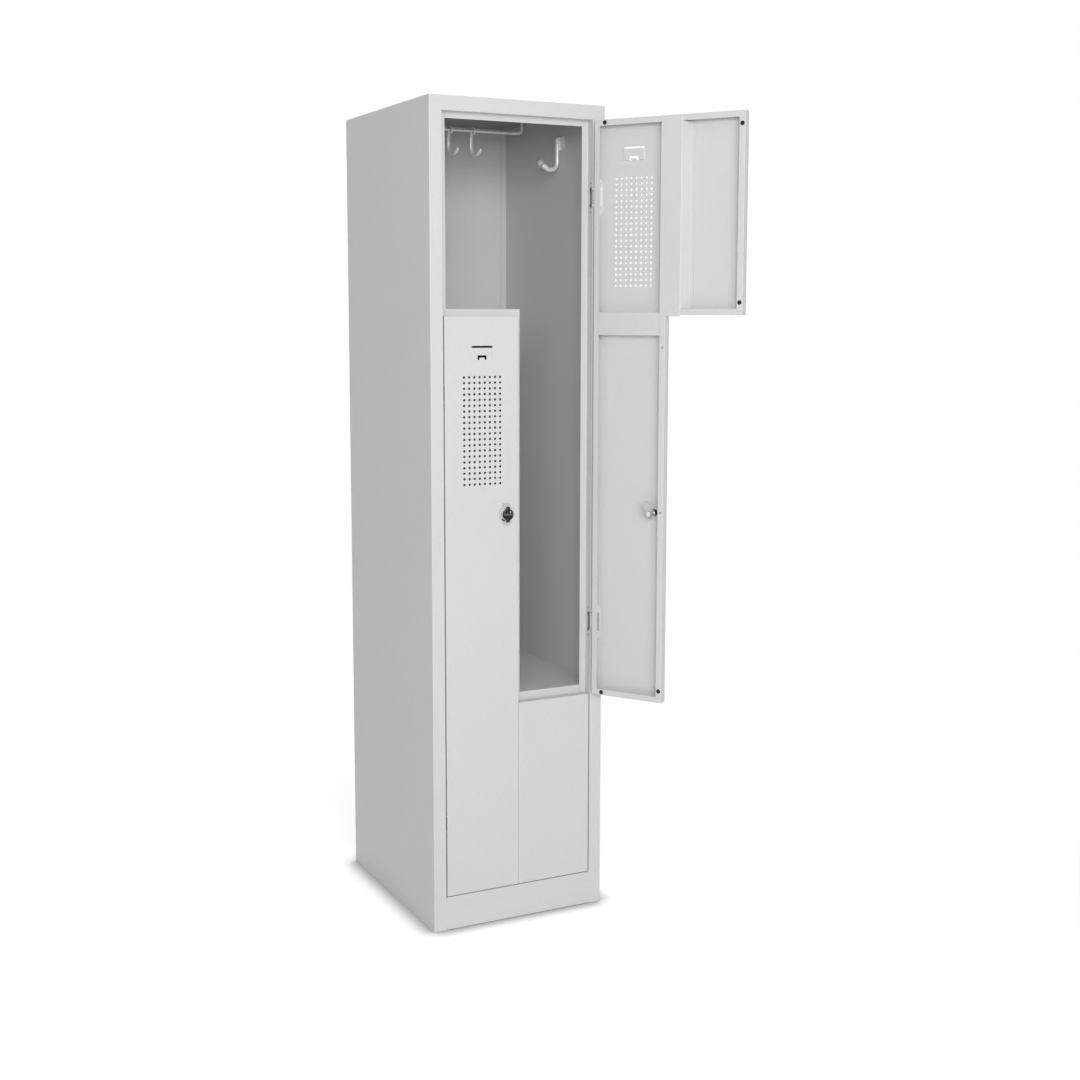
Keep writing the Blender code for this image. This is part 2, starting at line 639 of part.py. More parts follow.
def hinge_seat(name, side, height, steel):
    """Bracket behind the rebate with two ears, and the pin that they hold."""
    axis = side * (ZONE_RIGHT + AXIS_IN)
    wall = WIDTH / 2 - STILE_FACE + SHEET + SEAT
    sheet = sorted((side * wall, side * (wall + STRAP)))
    front = FRONT + AXIS_BACK
    web, tabs, deep = FRONT + BRACKET_WEB, FRONT + BRACKET_TABS, STOP - SEAT
    ear = STRAP_HALF + EAR_GAP
    outer = ear + STRAP
    tab = outer + BRACKET_TAB
    outline = [(tabs, -tab), (deep, -tab), (deep, tab), (tabs, tab), (tabs, outer), (web, outer),
               (web, -outer), (tabs, -outer)]
    outline = [(y, height + z) for y, z in outline]
    bracket = add_prism("hinge_bracket_" + name, outline, "X", *sheet, steel)
    for way, word in ((-1, "low"), (1, "high")):
        z = sorted((height + way * ear, height + way * outer))
        reach_in = side * (wall + SEAT)
        tongue = arc_points((axis, front), EYE_RADIUS, -math.pi, 0, ARC_STEPS)
        if side > 0:
            outline = [(reach_in, deep), (reach_in, front)] + tongue[1:] + [(axis + EYE_RADIUS, deep)]
        else:
            outline = [(axis - EYE_RADIUS, deep)] + tongue[:-1] + [(reach_in, front), (reach_in, deep)]
        boolean(bracket, add_prism(f"{name}_ear_{word}", outline, "Z", *z, steel), "UNION")
        rivet = polygon((FRONT + RIVET_BACK, height + way * RIVET_OFFSET), SCREW_RADIUS, SCREW_SIDES)
        hole = (sheet[0] - SEAT, sheet[1] + SEAT)
        boolean(bracket, add_prism(f"{name}_rivet_{word}", rivet, "X", *hole, steel), "DIFFERENCE")
    bore = add_prism(name + "_pin_bore", polygon((axis, front), PIN_RADIUS + PIN_CLEAR, PIN_SIDES), "Z",
                     height - tab, height + tab, steel)
    boolean(bracket, bore, "DIFFERENCE")
    top = outer + SEAT
    pin = add_prism("hinge_pin_" + name, polygon((axis, front), PIN_RADIUS, PIN_SIDES), "Z",
                    height - top, height + top, steel)
    head = add_prism(name + "_pin_head", polygon((axis, front), PIN_HEAD, PIN_SIDES), "Z",
                     height + top, height + top + PIN_HEAD_HEIGHT, steel)
    boolean(pin, head, "UNION")


def bumper(name, u, w, rubber, parent):
    """Domed rubber stop pressed on a lip."""
    shape = bmesh.new()
    base = DOOR_DEPTH - AXIS_BACK + SEAT
    shoulder = BUMPER_HEIGHT - BUMPER_RADIUS / 4
    turned(shape, [(0, 0), (BUMPER_RADIUS, 0), (BUMPER_RADIUS, shoulder),
                   (BUMPER_RADIUS * math.cos(math.pi / 4), BUMPER_HEIGHT - SEAT), (0, BUMPER_HEIGHT - SEAT)],
           BUMPER_SIDES)
    bmesh.ops.translate(shape, verts=shape.verts, vec=(u, base, w))
    add_mesh(name, shape, rubber, parent)


def rose_outline():
    """Lobed plate: two narrow tabs and a round middle, as (x, z)."""
    half, tab = ROSE_LENGTH / 2, ROSE_TAB / 2
    side = math.asin(tab / (ROSE_WIDTH / 2))
    points = [(tab - ROSE_CORNER, half), (tab, half - ROSE_CORNER)]
    points += [(x, z) for z, x in arc_points((0, 0), ROSE_WIDTH / 2, side, math.pi - side, ARC_STEPS)]
    points += [(tab, ROSE_CORNER - half), (tab - ROSE_CORNER, -half)]
    return points + [(-x, -z) for x, z in points]


def turn_lock(name, place, angle, parts, parent):
    """Rose and barrel fixed to the door; knob, tongue and nut turn on one spindle."""
    grey, black, chrome, steel = parts
    fixed = add_axis(name + "_seat", place, (0, 0 if name == "left" else math.pi, 0), parent)
    rose = add_prism("lock_rose_" + name, rose_outline(), "Y", -SEAT - ROSE_THICK, -SEAT, grey, fixed)
    collar_end = -SEAT - ROSE_THICK - COLLAR_HEIGHT
    collar = add_prism(name + "_collar", polygon((0, 0), COLLAR_RADIUS, BARREL_SIDES), "Y",
                       collar_end, -SEAT - ROSE_THICK / 2, grey, fixed)
    boolean(rose, collar, "UNION")
    bore = add_prism(name + "_rose_bore", polygon((0, 0), SPINDLE_RADIUS + SEAT, SPINDLE_SIDES), "Y",
                     collar_end - OVERRUN, OVERRUN, grey, fixed)
    boolean(rose, bore, "DIFFERENCE")
    shape = bmesh.new()
    inner, outer, shoulder = SPINDLE_RADIUS + SEAT, BARREL_RADIUS, BARREL_RADIUS - SHEET
    turned(shape, [(inner, SHEET + SEAT), (outer, SHEET + SEAT), (outer, BARREL_END - STRAP),
                   (shoulder, BARREL_END), (inner, BARREL_END)], BARREL_SIDES)
    add_mesh("lock_barrel_" + name, shape, chrome, fixed)

    axis = add_axis(name + "_lock_axis", (0, 0, 0), (0, angle, 0), fixed)
    base = collar_end - SEAT
    front = base - KNOB_DEPTH
    tongue_low = BARREL_END + SEAT
    tongue_high = tongue_low + TONGUE_THICK
    end = tongue_high + SEAT + NUT_HEIGHT / 2
    shape = bmesh.new()
    chamfer = KNOB_DEPTH / 4
    turned(shape, [(0, front), (KNOB_RADIUS - chamfer, front), (KNOB_RADIUS, front + chamfer), (KNOB_RADIUS, base),
                   (SPINDLE_RADIUS, base), (SPINDLE_RADIUS, end), (0, end)], BARREL_SIDES)
    knob = add_mesh("lock_knob_" + name, shape, black, axis)
    ears = [(-EAR_WIDTH / 2, -EAR_REACH), (EAR_WIDTH / 2, -EAR_REACH), (EAR_WIDTH / 2, EAR_REACH),
            (-EAR_WIDTH / 2, EAR_REACH)]
    boolean(knob, add_prism(name + "_ears", ears, "Y", front + chamfer, base - SEAT, black, axis), "UNION")
    band = rectangle(-KNOB_RADIUS - SEAT, KNOB_RADIUS + SEAT, -BAND_WIDTH / 2, BAND_WIDTH / 2)
    groove = add_prism(name + "_band", band, "Y", front - OVERRUN, front + BAND_DEPTH, black, axis)
    boolean(knob, groove, "DIFFERENCE")

    tip = TONGUE_LENGTH - TONGUE_HALF_TIP
    outline = arc_points((0, tip), TONGUE_HALF_TIP, 0, math.pi, ARC_STEPS)
    outline += arc_points((0, 0), TONGUE_HALF_ROOT, math.pi, 2 * math.pi, ARC_STEPS)
    tongue = add_prism("lock_tongue_" + name, outline, "Y", tongue_low, tongue_high, grey, axis)
    hole = add_prism(name + "_tongue_bore", polygon((0, 0), SPINDLE_RADIUS + SEAT, SPINDLE_SIDES), "Y",
                     tongue_low - OVERRUN, tongue_high + OVERRUN, grey, axis)
    boolean(tongue, hole, "DIFFERENCE")
    nut = add_prism("lock_nut_" + name, polygon((0, 0), NUT_RADIUS, NUT_SIDES), "Y",
                    tongue_high + SEAT, tongue_high + SEAT + NUT_HEIGHT, steel, axis)
    seat = add_prism(name + "_nut_bore", polygon((0, 0), SPINDLE_RADIUS + SEAT, SPINDLE_SIDES), "Y",
                     tongue_high - OVERRUN, end + SEAT, steel, axis)
    boolean(nut, seat, "DIFFERENCE")


def door(name, place, angles, up, drop, finishes):
    """One L-shaped door: a tall leaf and a wing, seen from its hinge axis."""
    grey, black, chrome, steel, rubber = finishes
    axis = add_axis(f"door_{name}_axis", place, angles)
    lock_w = LOCK_HEIGHT - ZONE_LOW if name == "left" else ZONE_HIGH - LOCK_HEIGHT
    top = LEAF_HEIGHT if up > 0 else 0
    lock = (AXIS_IN + LEAF_SPAN - LOCK_FROM_EDGE, lock_w)

    shape = bmesh.new()
    tray(shape, AXIS_IN, AXIS_IN + LEAF_SPAN, 0, LEAF_HEIGHT, -AXIS_BACK, DOOR_DEPTH, DOOR_LIP)
    leaf = add_mesh(f"door_{name}_leaf", shape, grey, axis)
    boolean(leaf, leaf_punchings(f"{name}_punchings", up, top, drop, lock, grey, axis), "DIFFERENCE")
    shape = bmesh.new()
    seam = AXIS_IN + LEAF_SPAN + SEAT
    tray(shape, seam, seam + WING_SPAN, 0, WING_HEIGHT, -AXIS_BACK, DOOR_DEPTH, DOOR_LIP)
    add_mesh(f"door_{name}_wing", shape, grey, axis)
    joint_plate(f"door_{name}_joint_plate", grey, axis)
    cross_bar(f"door_{name}_cross_bar", grey, axis)

    first, last = ("lower", "upper") if up > 0 else ("upper", "lower")
    for word, middle in ((first, HINGE_INSET), (last, LEAF_HEIGHT - HINGE_INSET)):
        hinge_strap(f"hinge_strap_{name}_{word}", middle, steel, axis)
    lip = DOOR_LIP / 2
    far = seam + WING_SPAN - lip
    near = AXIS_IN + LEAF_SPAN - lip
    hinge = AXIS_IN + BUMPER_HINGE
    spots = ((hinge, lip), (far, BUMPER_END), (far, WING_HEIGHT - BUMPER_END),
             (near, LEAF_HEIGHT - BUMPER_END), (hinge, LEAF_HEIGHT - lip))
    for number, (u, w) in enumerate(spots, 1):
        bumper(f"bumper_{name}_{number}", u, w, rubber, axis)
    lean = 0 if name == "left" else LEAN
    turn_lock(name, (lock[0], -AXIS_BACK, lock[1]), lean, (grey, black, chrome, steel), axis)


def garment_rail(name, middle, ceiling, span, steel):
    """Wire bent up at both ends to the sheet above it."""
    z = ceiling - RAIL_DROP
    end = span / 2
    bend = arc_points((end - RAIL_BEND, z + RAIL_BEND), RAIL_BEND, -math.pi / 2, 0, ARC_STEPS // 2)
    half = bend + [(end, ceiling - SEAT)]
    path = [(middle - x, FRONT + RAIL_BACK, height) for x, height in half[::-1]]
    path += [(middle + x, FRONT + RAIL_BACK, height) for x, height in half]
    add_wire(name, path, [RAIL_RADIUS] * len(path), (0, 1, 0), steel)
    return z


def rail_hook(name, place, steel):
    """Hook that hangs over the rail and slides along it; its open bend faces the door."""
    axis = add_axis(name + "_slide", place)
    turn = HOOK_EYE
    eye = arc_points((0, 0), turn, math.pi + HOOK_WRAP, 0, ARC_STEPS)
    centre = (turn - HOOK_REACH, HOOK_REACH - HOOK_DROP)
    path = eye + arc_points(centre, HOOK_REACH, 0, -HOOK_OPEN, ARC_STEPS)
    count = len(path) - len(eye)
    radii = [HOOK_RADIUS] * len(path)
    radii[-1] = HOOK_RADIUS / 2
    shares = np.interp(range(count), (0, 2, count - 2, count - 1), HOOK_WIDTH_SHARES)
    widths = [HOOK_RADIUS] * len(eye) + [HOOK_WIDTH * share for share in shares]
    add_wire(name, [(0, y, z) for y, z in path], radii, (1, 0, 0), steel, axis, widths)


def wall_hook(name, side, ceiling, steel):
    """Riveted plate with a round arm that turns up to a ball."""
    wall = side * (WIDTH / 2 - SHEET - SEAT)
    y = FRONT + WALL_HOOK_BACK
    top = ceiling - WALL_HOOK_DROP
    out = [wall - side * d for d in (0, WALL_PLATE_THICK)]
    plate = add_prism(name, rectangle(y - WALL_PLATE_WIDTH / 2 - WALL_FLANGE, y + WALL_PLATE_WIDTH / 2,
                                      top - WALL_PLATE_HEIGHT, top), "X", *sorted(out), steel)
    riser_side = sorted((wall - side * SHEET, wall - side * WALL_ARM_OUT))
    riser = add_prism(name + "_riser", rectangle(y - WALL_ARM_RADIUS, y + WALL_PLATE_WIDTH / 2,
                                                 top - WALL_PLATE_HEIGHT, top), "X", *riser_side, steel)
    boolean(plate, riser, "UNION")
    x = wall - side * WALL_ARM_OUT
    low = top - WALL_ARM_DROP
    bend = arc_points((WALL_BEND, low), WALL_BEND, math.pi, math.pi + WALL_OPEN, ARC_STEPS)
    path = [(x, y, top - SEAT)] + [(x - side * d, y, z) for d, z in bend]
    last = bend[-1]
    tip = (last[0] + WALL_TIP * math.sin(WALL_OPEN), last[1] - WALL_TIP * math.cos(WALL_OPEN))
    path.append((x - side * tip[0], y, tip[1]))
    arm = add_wire(name + "_arm", path, [WALL_ARM_RADIUS] * len(path), (0, 1, 0), steel)
    boolean(plate, arm, "UNION")
    shape = bmesh.new()
    angles = np.linspace(-math.pi / 2, math.pi / 2, BALL_STEPS + 1)
    profile = [(0, -WALL_BALL)] + [(WALL_BALL * math.cos(a), WALL_BALL * math.sin(a)) for a in angles[1:-1]]
    turned(shape, profile + [(0, WALL_BALL)], WIRE_SIDES)
    bmesh.ops.translate(shape, verts=shape.verts, vec=path[-1])
    boolean(plate, add_mesh(name + "_ball", shape, steel), "UNION")


def build():
    clear_scene()
    grey = finish("light grey powder coat", (0.62, 0.62, 0.62), 0.45, 0.0)
    black = finish("black moulding", (0.02, 0.02, 0.02), 0.4, 0.0)
    chrome = finish("chrome", (0.75, 0.75, 0.75), 0.15, 1.0)
    steel = finish("zinc plated steel", (0.6, 0.6, 0.6), 0.35, 1.0)
    rubber = finish("black rubber", (0.03, 0.03, 0.03), 0.8, 0.0)
    finishes = (grey, black, chrome, steel, rubber)

    left_hinges = (ZONE_LOW + HINGE_INSET, ZONE_LOW + LEAF_HEIGHT - HINGE_INSET)
    right_hinges = (ZONE_HIGH - LEAF_HEIGHT + HINGE_INSET, ZONE_HIGH - HINGE_INSET)
    side_panel("side_panel_left", -1, grey, left_hinges)
    side_panel("side_panel_right", 1, grey, right_hinges)
    front_rails(grey)
    roof_and_back(grey)
    compartments(grey)
    for side, word, heights in ((-1, "left", left_hinges), (1, "right", right_hinges)):
        for level, height in zip(("lower", "upper"), heights):
            hinge_seat(f"{word}_{level}", side, height, steel)

    pin_y = FRONT + AXIS_BACK
    door("left", (ZONE_LEFT - AXIS_IN, pin_y, ZONE_LOW), (0, 0, 0), 1, CARD_DROP_LEFT, finishes)
    door("right", (ZONE_RIGHT + AXIS_IN, pin_y, ZONE_HIGH), (0, math.pi, SWING_REST), -1,
         CARD_DROP_RIGHT, finishes)

    roof = HEIGHT - SHEET
    shelf_under = SHELF_TOP_UPPER - SHEET
    lower_middle = LEFT / 2
    for name, middle, ceiling, span, places in (
            ("upper", 0, roof, RAIL_UPPER_SPAN, HOOK_UPPER_PLACES),
            ("lower", lower_middle, shelf_under, RAIL_LOWER_SPAN, HOOK_LOWER_PLACES)):
        height = garment_rail("garment_rail_" + name, middle, ceiling, span, steel)
        for number, offset in enumerate(places, 1):
            rail_hook(f"rail_hook_{name}_{number}", (middle + offset, FRONT + RAIL_BACK, height), steel)
    wall_hook("wall_hook_upper", 1, roof, steel)
    wall_hook("wall_hook_lower", -1, shelf_under, steel)


build()
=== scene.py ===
"""Two-person Z locker in light grey steel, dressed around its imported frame.

Every sheet, hinge, lock and hook is worked out from the frame's own boxes and joints.
Metres, +Z up, front towards -Y.
"""
import json
import math

import bpy
import numpy as np
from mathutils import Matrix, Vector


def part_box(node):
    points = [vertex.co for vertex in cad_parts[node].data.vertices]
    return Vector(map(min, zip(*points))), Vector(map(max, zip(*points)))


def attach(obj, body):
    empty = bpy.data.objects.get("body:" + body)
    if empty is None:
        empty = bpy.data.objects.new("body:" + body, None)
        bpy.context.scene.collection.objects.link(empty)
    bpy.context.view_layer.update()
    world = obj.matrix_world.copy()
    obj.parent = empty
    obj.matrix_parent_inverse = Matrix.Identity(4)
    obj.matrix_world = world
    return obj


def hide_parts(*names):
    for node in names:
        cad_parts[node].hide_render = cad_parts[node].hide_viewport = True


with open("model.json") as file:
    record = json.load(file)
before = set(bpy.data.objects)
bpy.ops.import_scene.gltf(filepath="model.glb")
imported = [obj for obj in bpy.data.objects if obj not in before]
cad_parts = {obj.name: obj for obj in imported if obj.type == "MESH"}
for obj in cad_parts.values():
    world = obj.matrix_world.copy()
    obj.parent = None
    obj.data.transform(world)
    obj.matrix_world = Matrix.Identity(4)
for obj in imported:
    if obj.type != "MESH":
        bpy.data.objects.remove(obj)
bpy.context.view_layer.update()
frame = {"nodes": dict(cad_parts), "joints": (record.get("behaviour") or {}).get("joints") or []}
joints = {joint["name"]: joint for joint in frame["joints"]}


# Side panels: side, stile, rebate and door stop in one 1 mm sheet, powder coated light
# grey after folding. The rebate is slotted for the hinge straps and punched beside each
# slot for the bracket's rivets.
SHEET = 0.001
half = SHEET / 2
BEND = 0.0012            # mid-line radius of a fold
BEND_STEPS = 4
HOLD = 0.0008            # line beside a fold that keeps the flat sheet's shading flat
SAME = 0.00001           # grid lines closer than this are one
RIM_GAP = 0.0003
BACK_FOLD = 0.015
STOP_WIDTH = 0.015
SLOT_HALF = 0.0215
SLOT_END = 0.0128        # front face to the slot's far end
PUNCH_STEP = 0.0028 / 3
PUNCH_RADIUS = 0.0024
PUNCH_BACK = SLOT_END - 3 * PUNCH_STEP
PUNCH_OFFSET = 0.0315
ROOF_NOTCH = 0.0153
GREY = (0.665, 0.668, 0.668)
THIN_COAT = 0.38         # tone of a thin coat, as a share of the full one's


def shader_of(name, colour, roughness, metallic):
    """A material, its tree, its one shader with the values that are the same all over, and the
    place in space that its patterns are read at."""
    item = bpy.data.materials.new(name)
    item.use_nodes = True
    tree = item.node_tree
    shader = tree.nodes["Principled BSDF"]
    shader.inputs["Base Color"].default_value = (*colour, 1)
    shader.inputs["Roughness"].default_value = roughness
    shader.inputs["Metallic"].default_value = metallic
    return item, tree, shader, node(tree, "TexCoord", {}).outputs["Object"]


def node(tree, kind, inputs, **settings):
    """One shader node; each input is a plain value or the socket that feeds it."""
    made = tree.nodes.new("ShaderNode" + kind)
    for key, value in settings.items():
        setattr(made, key, value)
    for key, value in inputs.items():
        if isinstance(value, bpy.types.NodeSocket):
            tree.links.new(value, made.inputs[key])
        else:
            made.inputs[key].default_value = value
    return made


def calc(tree, operation, one, other):
    """One sum, product or the like of two values."""
    return node(tree, "Math", {0: one, 1: other}, operation=operation).outputs["Value"]


def mapped(tree, value, to_low, to_high, low=0.0, high=1.0, **settings):
    """A value that runs from low to high, stretched to run between two others and kept there."""
    return node(tree, "MapRange", {
        "Value": value, "From Min": low, "From Max": high, "To Min": to_low, "To Max": to_high},
        **settings).outputs["Result"]


def spread(tree, where, scale, low, high, detail=2.0):
    """Noise at a scale in cycles per metre, stretched to run between two values."""
    noise = node(tree, "TexNoise", {"Vector": where, "Scale": scale, "Detail": detail})
    return mapped(tree, noise.outputs["Fac"], low, high, 0.3, 0.7)


def fold_share(tree):
    """How much of a fold's wear, grease or oil each point of the piece has."""
    return node(tree, "Attribute", {}, attribute_name="fold").outputs["Fac"]


def tinted(tree, shader, colour, factors):
    """Base colour: the colour times each of the factors."""
    last = (*colour, 1)
    for factor in factors:
        tone = node(tree, "CombineColor", {"Red": factor, "Green": factor, "Blue": factor})
        last = node(tree, "Mix", {"Factor": 1, "A": last, "B": tone.outputs["Color"]},
                    data_type="RGBA", blend_type="MULTIPLY").outputs["Result"]
    tree.links.new(last, shader.inputs["Base Color"])


def bumped(tree, shader, where, *layers):
    """Bumps laid over each other, as (cycles per metre, detail, strength, height in metres)."""
    below = {}
    for scale, detail, strength, height in layers:
        noise = node(tree, "TexNoise", {"Vector": where, "Scale": scale, "Detail": detail})
        bump = node(tree, "Bump", {"Height": noise.outputs["Fac"], "Strength": strength,
                                   "Distance": height, **below})
        below = {"Normal": bump.outputs["Normal"]}
    tree.links.new(bump.outputs["Normal"], shader.inputs["Normal"])


def powder_coat(name, colour):
    """Baked powder: orange peel 2 mm apart, a finer grain, and a thinner, glossier skin on folds.

    Where the fold share is -1 instead of 0 to 1, the coat is a thin, dark film.
    """
    item, tree, shader, where = shader_of(name, colour, 0.4, 0)
    fold = fold_share(tree)
    worn = calc(tree, "MULTIPLY", fold, spread(tree, where, 60, 0.0, 1.0, 4.0))
    tinted(tree, shader, colour, (
        spread(tree, where, 3, 0.988, 1.012), spread(tree, where, 330, 0.972, 1.028, 3.0),
        mapped(tree, worn, 1.0, 1.05), mapped(tree, fold, THIN_COAT, 1.0, -1.0, 0.0)))
    rough = spread(tree, where, 45, 0.39, 0.47, 3.0)
    rough = calc(tree, "ADD", rough, mapped(tree, fold, 0.0, -0.08))
    tree.links.new(rough, shader.inputs["Roughness"])
    bumped(tree, shader, where, (480, 1.0, 0.35, 0.00012), (2600, 1.0, 0.2, 0.00003))
    return item


grey_coat = powder_coat("light_grey_powder_coat", GREY)


def turned(x, y, angle):
    """Points turned about the origin: (x cos - y sin, x sin + y cos)."""
    cos, sin = np.cos(angle), np.sin(angle)
    return x * cos - y * sin, x * sin + y * cos


def fold_line(corners, radii):
    """Mid line of a folded sheet, as rows of (length so far, u, v, normal u, normal v, fold).

    Each corner of the polyline turns into an arc that starts r tan(turn/2) before it and
    ends as far after it, with a line a little outside either end. A radius of 0 keeps the
    corner, and its normal is stretched so that the sheet keeps its thickness.
    """
    corners = np.asarray(corners, float)
    radii = np.broadcast_to(radii, len(corners) - 2)
    ways = np.diff(corners, axis=0)
    ways /= np.linalg.norm(ways, axis=1)[:, None]
    left = np.column_stack([-ways[:, 1], ways[:, 0]])
    parts = [np.array([[*corners[0], *left[0], 0]])]
    for corner, radius, way_in, way_out, normal, following in zip(
            corners[1:-1], radii, ways, ways[1:], left, left[1:]):
        turn = math.atan2(way_in[0] * way_out[1] - way_in[1] * way_out[0], way_in @ way_out)
        if radius == 0:
            middle = (normal + following) / (1 + normal @ following)
            parts.append(np.array([[*corner, *middle, 0]]))
            continue
        reach = radius * math.tan(abs(turn) / 2)
        spun = np.column_stack(turned(*normal, np.linspace(0, turn, BEND_STEPS + 1)))
        side = math.copysign(radius, turn)
        arc = corner - way_in * reach + side * (normal - spun)
        share = np.sin(np.linspace(0, math.pi, BEND_STEPS + 1))[:, None]
        parts.append(np.array([[*(corner - way_in * (reach + HOLD)), *normal, 0]]))
        parts.append(np.hstack([arc, spun, share]))
        parts.append(np.array([[*(corner + way_out * (reach + HOLD)), *following, 0]]))
    parts.append(np.array([[*corners[-1], *left[-1], 0]]))
    line = np.vstack(parts)
    steps = np.linalg.norm(np.diff(line[:, :2], axis=0), axis=1)
    return np.column_stack([np.concatenate([[0], np.cumsum(steps)]), line])


def lines(*groups):
    """Sorted places of grid lines, each only once."""
    places = np.sort(np.concatenate([np.ravel(group) for group in groups]))
    return places[np.concatenate([[True], np.diff(places) > SAME])]


def halfway(places):
    """The middle of each two neighbours."""
    return (places[1:] + places[:-1]) / 2


def spots_around(centre, step):
    """Seven grid lines round a hole's middle: three steps to either side."""
    return centre + step * np.arange(-3, 4)


def pierce(one, two, kept, spots, step, radius):
    """Round holes in a grid whose lines lie a step apart near each spot.

    A point's ring is the larger of its two distances to the spot, in steps. Ring 2 moves
    along its own radius onto the circle, and the cells inside ring 2 are left out.
    """
    middle = [halfway(halfway(grid).T).T for grid in (one, two)]
    for a, b in spots:
        kept &= np.maximum(abs(middle[0] - a), abs(middle[1] - b)) > 2 * step
        x, y = one - a, two - b
        on = np.isclose(np.maximum(abs(x), abs(y)) / step, 2, atol=0.02)
        scale = radius / np.hypot(x[on], y[on])
        one[on] = a + x[on] * scale
        two[on] = b + y[on] * scale


def cells(kept):
    """The four corner numbers of each kept cell of a grid."""
    i, j = np.nonzero(kept)
    across = kept.shape[1] + 1
    start = i * across + j
    return np.column_stack([start, start + across, start + across + 1, start + 1])


def placed(axis, u, v, along):
    """Points of a section: X puts (u, v) on (y, z), Y on (x, z) and Z on (x, y)."""
    order = {"X": (along, u, v), "Y": (u, along, v), "Z": (u, v, along)}[axis]
    return np.stack(np.broadcast_arrays(*order), -1)


def two_skins(outer, inner, quads):
    """A sheet from its two skins: the same cells on both, and a rim cell on each free edge.

    The cells are turned so that their normals point from the inner skin to the outer one.
    """
    outer, inner = outer.reshape(-1, 3), inner.reshape(-1, 3)
    a, b, c = outer[quads[:, 0]], outer[quads[:, 1]], outer[quads[:, 2]]
    if np.sum(np.cross(b - a, c - b) * (outer - inner)[quads[:, 0]]) < 0:
        quads = quads[:, ::-1]
    edges = np.stack([quads, np.roll(quads, -1, 1)], 2).reshape(-1, 2)
    _, first, times = np.unique(np.sort(edges, 1), axis=0, return_index=True, return_counts=True)
    free = edges[first[times == 1]]
    count = len(outer)
    rim = np.column_stack([free[:, 1], free[:, 0], free[:, 0] + count, free[:, 1] + count])
    return np.vstack([outer, inner]), np.vstack([quads, quads[:, ::-1] + count, rim])


def linked(name, data):
    """An object made of some data, in the scene."""
    item = bpy.data.objects.new(name, data)
    bpy.context.scene.collection.objects.link(item)
    return item


def piece(name, part, material, body, slot, nodes, sharp=32):
    """Put a part into a mesh: its points, its faces and, where there is one, a fold share for
    each point. Points that coincide are made one and a cell with two equal corners becomes a
    triangle. It is smooth except across edges sharper than an angle."""
    points, faces, *fold = part
    points = points.reshape(-1, 3)
    _, first, same = np.unique(np.round(points, 7), axis=0, return_index=True, return_inverse=True)
    faces = same.reshape(-1)[faces]
    double = faces == np.roll(faces, -1, 1)
    four = faces[double.sum(1) == 0]
    thin = double.sum(1) == 1
    three = faces[thin][~double[thin]].reshape(-1, 3)
    used, numbers = np.unique(np.concatenate([four.ravel(), three.ravel()]), return_inverse=True)
    numbers = numbers.reshape(-1)
    four, three = numbers[:four.size].reshape(-1, 4), numbers[four.size:].reshape(-1, 3)
    data = bpy.data.meshes.new(name)
    data.from_pydata(points[first][used].tolist(), [], four.tolist() + three.tolist())
    data.shade_smooth()
    data.set_sharp_from_angle(angle=math.radians(sharp))
    share = np.ravel(fold[0]) if fold else np.zeros(len(points))
    share = share[first][used].astype(np.float32)
    data.attributes.new("fold", "FLOAT", "POINT").data.foreach_set("value", share)
    data.materials.append(material)
    item = linked(name, data)
    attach(item, body)
    if nodes:
        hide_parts(*nodes)


def folded(line, along, axis, cut=None, spots=(), extra=()):
    """A fold line carried along an axis: point = (line at length s) +- normal times half a sheet.

    cut(u, v, a) says which cells are left out and spots are the round holes, as (s, a).
    """
    across = lines(line[:, 0], extra)
    s, a = np.meshgrid(across, along, indexing="ij")
    kept = np.ones((len(across) - 1, len(along) - 1), bool)
    if cut:
        middle = [np.interp(halfway(across), line[:, 0], line[:, k])[:, None] for k in (1, 2)]
        kept &= ~cut(*middle, halfway(along)[None, :])
    pierce(s, a, kept, spots, PUNCH_STEP, PUNCH_RADIUS)
    u, v, normal_u, normal_v, fold = (np.interp(s, line[:, 0], line[:, k]) for k in range(1, 6))
    skins = [placed(axis, u + way * normal_u, v + way * normal_v, a) for way in (half, -half)]
    return *two_skins(*skins, cells(kept)), np.tile(fold.ravel(), 2)


